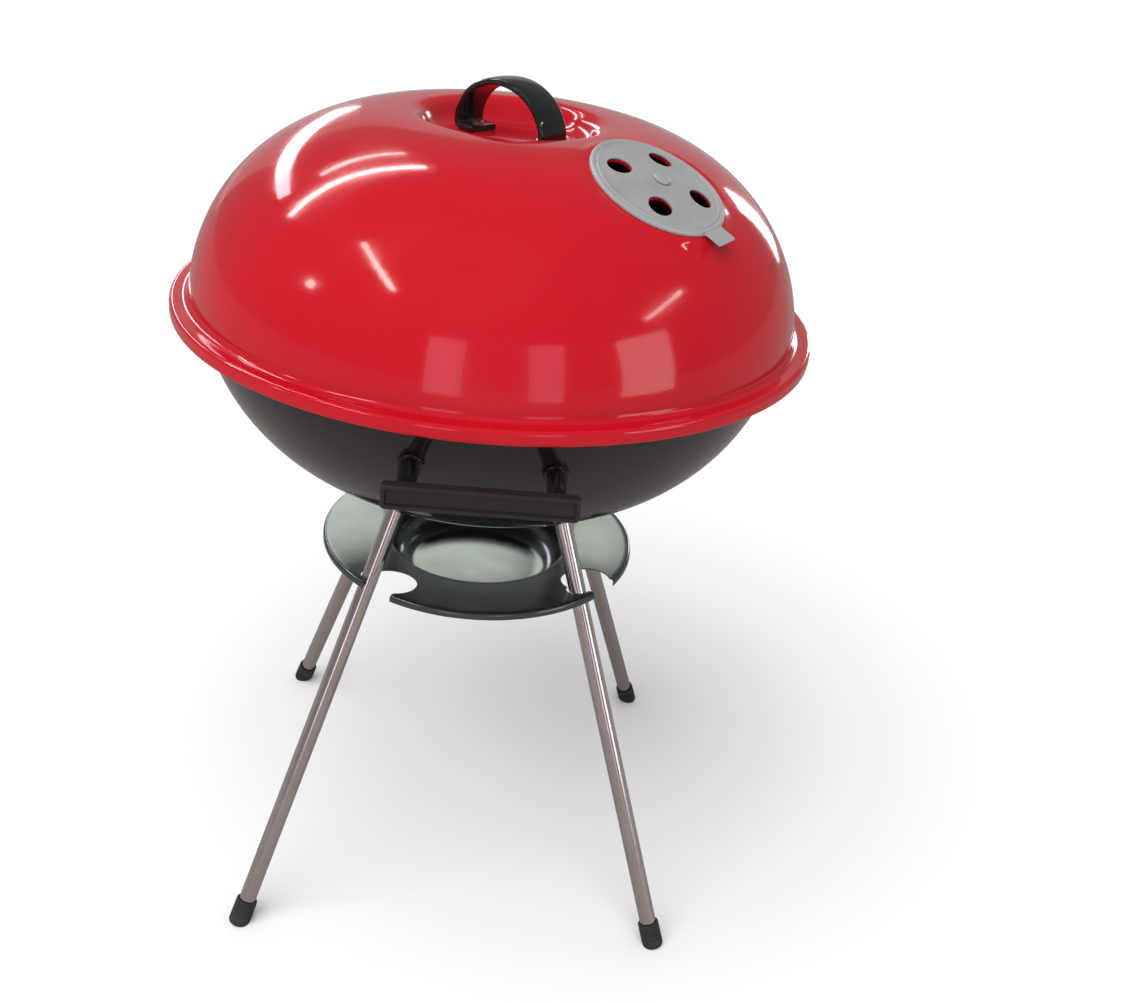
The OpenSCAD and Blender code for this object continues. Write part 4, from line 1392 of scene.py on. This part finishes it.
legScrewSpots = []
for legName, angle in legAngles.items():
    place = legFrame(angle)
    for make, look, slot, material, node in (
        (makeLeg, "leg", "leg_chrome", legChrome, "leg"),
        (makeCap, "footCap", "foot_rubber", footRubber, "foot_cap"),
        (makeSocket, "legSocket", "bracket_steel", bracketBlack, "leg_socket"),
    ):
        finishPiece(make(f"{look}_{legName}", place), "stand", slot, material, f"{node}_{legName}")
    aim = place.col[1].xyz * -1
    spot = place @ Vector((0, 0, legSeat - legSizes["screwDrop"])) + aim * legSizes["socketRadius"]
    legScrewSpots.append((spot, aim))
addFasteners(
    "legScrews",
    "leg_screws",
    "stand",
    legScrewSpots,
    {
        "Head Radius": 3.8 * mm,
        "Head Top Radius": 2.8 * mm,
        "Head Height": 2.4 * mm,
        "Recess Reach": 2 * mm,
        "Recess Width": 0.9 * mm,
        "Shank Radius": 1.9 * mm,
        "Shank Length": 4 * mm,
    },
)
print("legs made")


# ash catcher

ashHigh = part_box("ash_catcher")[1]
ashSizes = {
    "radius": 125 * mm,
    "dishRadius": 70 * mm,
    "dishDepth": 24 * mm,
    "brimRise": 5 * mm,
    "hem": 5 * mm,
    "wall": 1 * mm,
    "round": 20 * mm,
    "notchRadius": 19 * mm,
    "notchTurn": math.radians(9),
    "mouth": 27 * mm,
    "clearance": 1 * mm,
}
ashZ = ashHigh.z


def notchCutter(name, angle):
    # the round notch, its mouth, the arc slot and the leg's own seat behind the hook
    s = ashSizes
    splay = legSizes["splay"]
    legAt = footRadius - ashZ * math.tan(splay)
    legHalf = legSizes["radius"] / math.cos(splay) + s["clearance"]
    turn = math.radians(angle)
    low, high = ashZ - 15 * mm, ashZ + 15 * mm
    centre = s["radius"] - s["notchRadius"]
    spin = Matrix.Rotation(turn, 4, "Z")
    notchSpin = Matrix.Rotation(turn + s["notchTurn"], 4, "Z")

    def upright(outline, matrix):
        loops = [[matrix @ Vector((x, y, z)) for x, y in outline] for z in (low, high)]
        return loftMesh(loops)

    def circle(x, radius):
        return [(x + radius * math.cos(t), radius * math.sin(t)) for t in evenTurns(48)]

    half = s["mouth"] / 2
    past = centre + 60 * mm
    mouth = [(centre, -half), (past, -half), (past, half), (centre, half)]
    sweep = math.degrees(s["notchTurn"])
    inner, outer = (arcPoints((0, 0), legAt + way * legHalf, 0, sweep, 8) for way in (-1, 1))
    parts = [
        upright(circle(centre, s["notchRadius"]), notchSpin),
        upright(mouth, notchSpin),
        upright(outer + inner[::-1], spin),
        upright(circle(legAt, legHalf), spin),
    ]
    return [meshObject(f"{name}{i}", verts, faces) for i, (verts, faces) in enumerate(parts)]


def makeAshCatcher():
    s = ashSizes
    brimZ = ashZ - s["brimRise"]
    floorZ = brimZ - s["dishDepth"]
    corner, hemCorner = 3 * mm, 2.6 * mm
    lean = 80
    side = s["dishRadius"] - s["round"]
    path = joinPaths(
        linePoints((0, floorZ), (side, floorZ), 12),
        arcPoints((side, floorZ + s["round"]), s["round"], 270, 270 + lean, 12),
        arcPoints((s["dishRadius"] + corner, brimZ - corner), corner, 90 + lean, 95, 8),
        linePoints((s["dishRadius"] + corner, brimZ), (s["radius"] - hemCorner, ashZ), 16),
        arcPoints((s["radius"] - hemCorner, ashZ - hemCorner), hemCorner, 85, 0, 8),
        linePoints((s["radius"], ashZ - hemCorner), (s["radius"], ashZ - s["hem"]), 3),
    )
    catcher = sheetPiece("ashCatcher", path, s["wall"], -1, 256, 35)
    cuts = [cutter for angle in legAngles.values() for cutter in notchCutter("notch", angle)]
    return cutWith(catcher, cuts, 35)


ashCatcher = makeAshCatcher()
finishPiece(ashCatcher, "ash_catcher", "ash_catcher_paint", ashPaint, "ash_catcher")
print("ash catcher made")


# CAD pieces that stay, with finished materials
for node, material in (
    ("cooking_grate_tabs", bracketBlack),
    ("charcoal_grate_tabs", bracketBlack),
    ("side_handle_washers", zincPlate),
):
    shown = frame["nodes"][node]
    shown.data.materials.clear()
    shown.data.materials.append(material)


# floor, light and camera


def makeFloor():
    # a pale floor that looks darker in reflections
    mesh = bpy.data.meshes.new("floor")
    size = 24.0
    corners = [(x * size, y * size, 0) for x, y in ((-1, -1), (1, -1), (1, 1), (-1, 1))]
    mesh.from_pydata(corners, [], [(0, 1, 2, 3)])
    floor = addObject("floor", mesh)
    material = bpy.data.materials.new("floorPale")
    material.use_nodes = True
    tree = material.node_tree
    shader = tree.nodes["Principled BSDF"].inputs
    reflected = addNode(tree, "ShaderNodeLightPath").outputs["Is Glossy Ray"]
    colour = mixColour(tree, reflected, (0.92, 0.92, 0.915, 1), (0.26, 0.235, 0.225, 1))
    wire(tree, colour, shader["Base Color"])
    shader["Roughness"].default_value = 0.8
    shader["Specular IOR Level"].default_value = 0.1
    mesh.materials.append(material)


def stripLight(name, start, end, width, radiance, colour=(1, 1, 1), only=None):
    # a lamp that reaches from start to end and faces the grill, or lights one piece only
    start, end = Vector(start), Vector(end)
    middle = (start + end) / 2
    data = bpy.data.lights.new(name, "AREA")
    data.shape = "RECTANGLE"
    data.size, data.size_y = (end - start).length, width
    data.energy = radiance * math.pi * data.size * width
    data.color = colour
    light = addObject(name, data)
    light.matrix_world = axisFrame(middle, middle - Vector((0, 0, 0.5)), end - start)
    light.visible_diffuse = False
    if only:
        lit = bpy.data.collections.new(name + "Lit")
        lit.objects.link(only)
        light.light_linking.receiver_collection = lit


def sunLight(name, towards, strength, spread):
    # wide soft daylight that leaves no glint of its own
    data = bpy.data.lights.new(name, "SUN")
    data.energy = strength
    data.angle = math.radians(spread)
    light = addObject(name, data)
    light.rotation_euler = Vector(towards).to_track_quat("-Z", "Y").to_euler()
    light.visible_glossy = False


def makeCamera():
    view = {"distance": 0.9456, "height": 0.8082, "pan": 0.072, "tilt": 0.483, "roll": 0.110, "lens": 42.09}
    data = bpy.data.cameras.new("camera")
    data.sensor_width = 36
    data.lens = view["lens"]
    camera = addObject("camera", data)
    pan, tilt, roll = view["pan"], view["tilt"], view["roll"]
    forward = Vector((math.sin(pan) * math.cos(tilt), math.cos(pan) * math.cos(tilt), -math.sin(tilt)))
    right = forward.cross(Vector((0, 0, 1))).normalized()
    above = right.cross(forward)
    x = right * math.cos(roll) + above * math.sin(roll)
    y = above * math.cos(roll) - right * math.sin(roll)
    matrix = Matrix((x, y, -forward)).transposed().to_4x4()
    matrix.translation = Vector((0, -view["distance"], view["height"]))
    camera.matrix_world = matrix
    bpy.context.scene.camera = camera


makeFloor()
sunLight("daylight", (0.35, 0.5, -1.0), 2.3, 60)
stripLight("tubeLong", (-2.65, 1.18, 2.6), (-0.54, 1.48, 2.6), 0.12, 17)
stripLight("tubeShort", (-1.87, 1.82, 2.6), (-0.76, 2.13, 2.6), 0.09, 9)
stripLight("tubeFar", (-3.0, 2.3, 2.6), (-3.2, 7.5, 2.6), 0.5, 7, (0.95, 0.9, 1.0))
stripLight("tubeSide", (-1.68, -0.39, 2.6), (-1.78, -1.74, 2.6), 0.1, 16, (1.0, 0.97, 0.9))
stripLight("tubeRight", (3.38, -1.78, 2.6), (3.26, -0.33, 2.6), 0.12, 9)
stripLight("lampLeft", (-4.44, -1.3, 2.6), (-4.44, -1.0, 2.6), 0.3, 15)
stripLight("windowLeft", (-1.3, -3.2, 1.0), (-0.55, -3.35, 1.0), 1.8, 1.3, (1.0, 0.72, 0.92))
stripLight("windowMiddle", (0.75, -3.3, 1.0), (1.45, -3.1, 1.0), 1.8, 1.0, (1.0, 0.72, 0.92))
stripLight("windowRight", (2.3, -2.3, 0.95), (3.0, -1.35, 0.95), 1.6, 1.7)
stripLight("doorRight", (2.3, 3.1, 0.9), (1.9, 3.4, 0.9), 1.2, 7)
stripLight("skyBack", (-2.6, 3.6, 1.1), (2.6, 3.6, 1.1), 1.9, 0.2)
stripLight("panBack", (-0.85, 3.4, 2.4), (0.2, 3.4, 2.4), 0.8, 3.4, (0.97, 1.0, 0.86), ashCatcher)
world = bpy.data.worlds.new("world")
world.use_nodes = True
skyTree = world.node_tree
sky = skyTree.nodes["Background"].inputs
reflected = addNode(skyTree, "ShaderNodeLightPath").outputs["Is Glossy Ray"]
wire(skyTree, mixColour(skyTree, reflected, (0.95, 0.96, 1.0, 1), (0.3, 0.3, 0.3, 1)), sky["Color"])
sky["Strength"].default_value = 0.6
bpy.context.scene.world = world
makeCamera()
print("stage made")
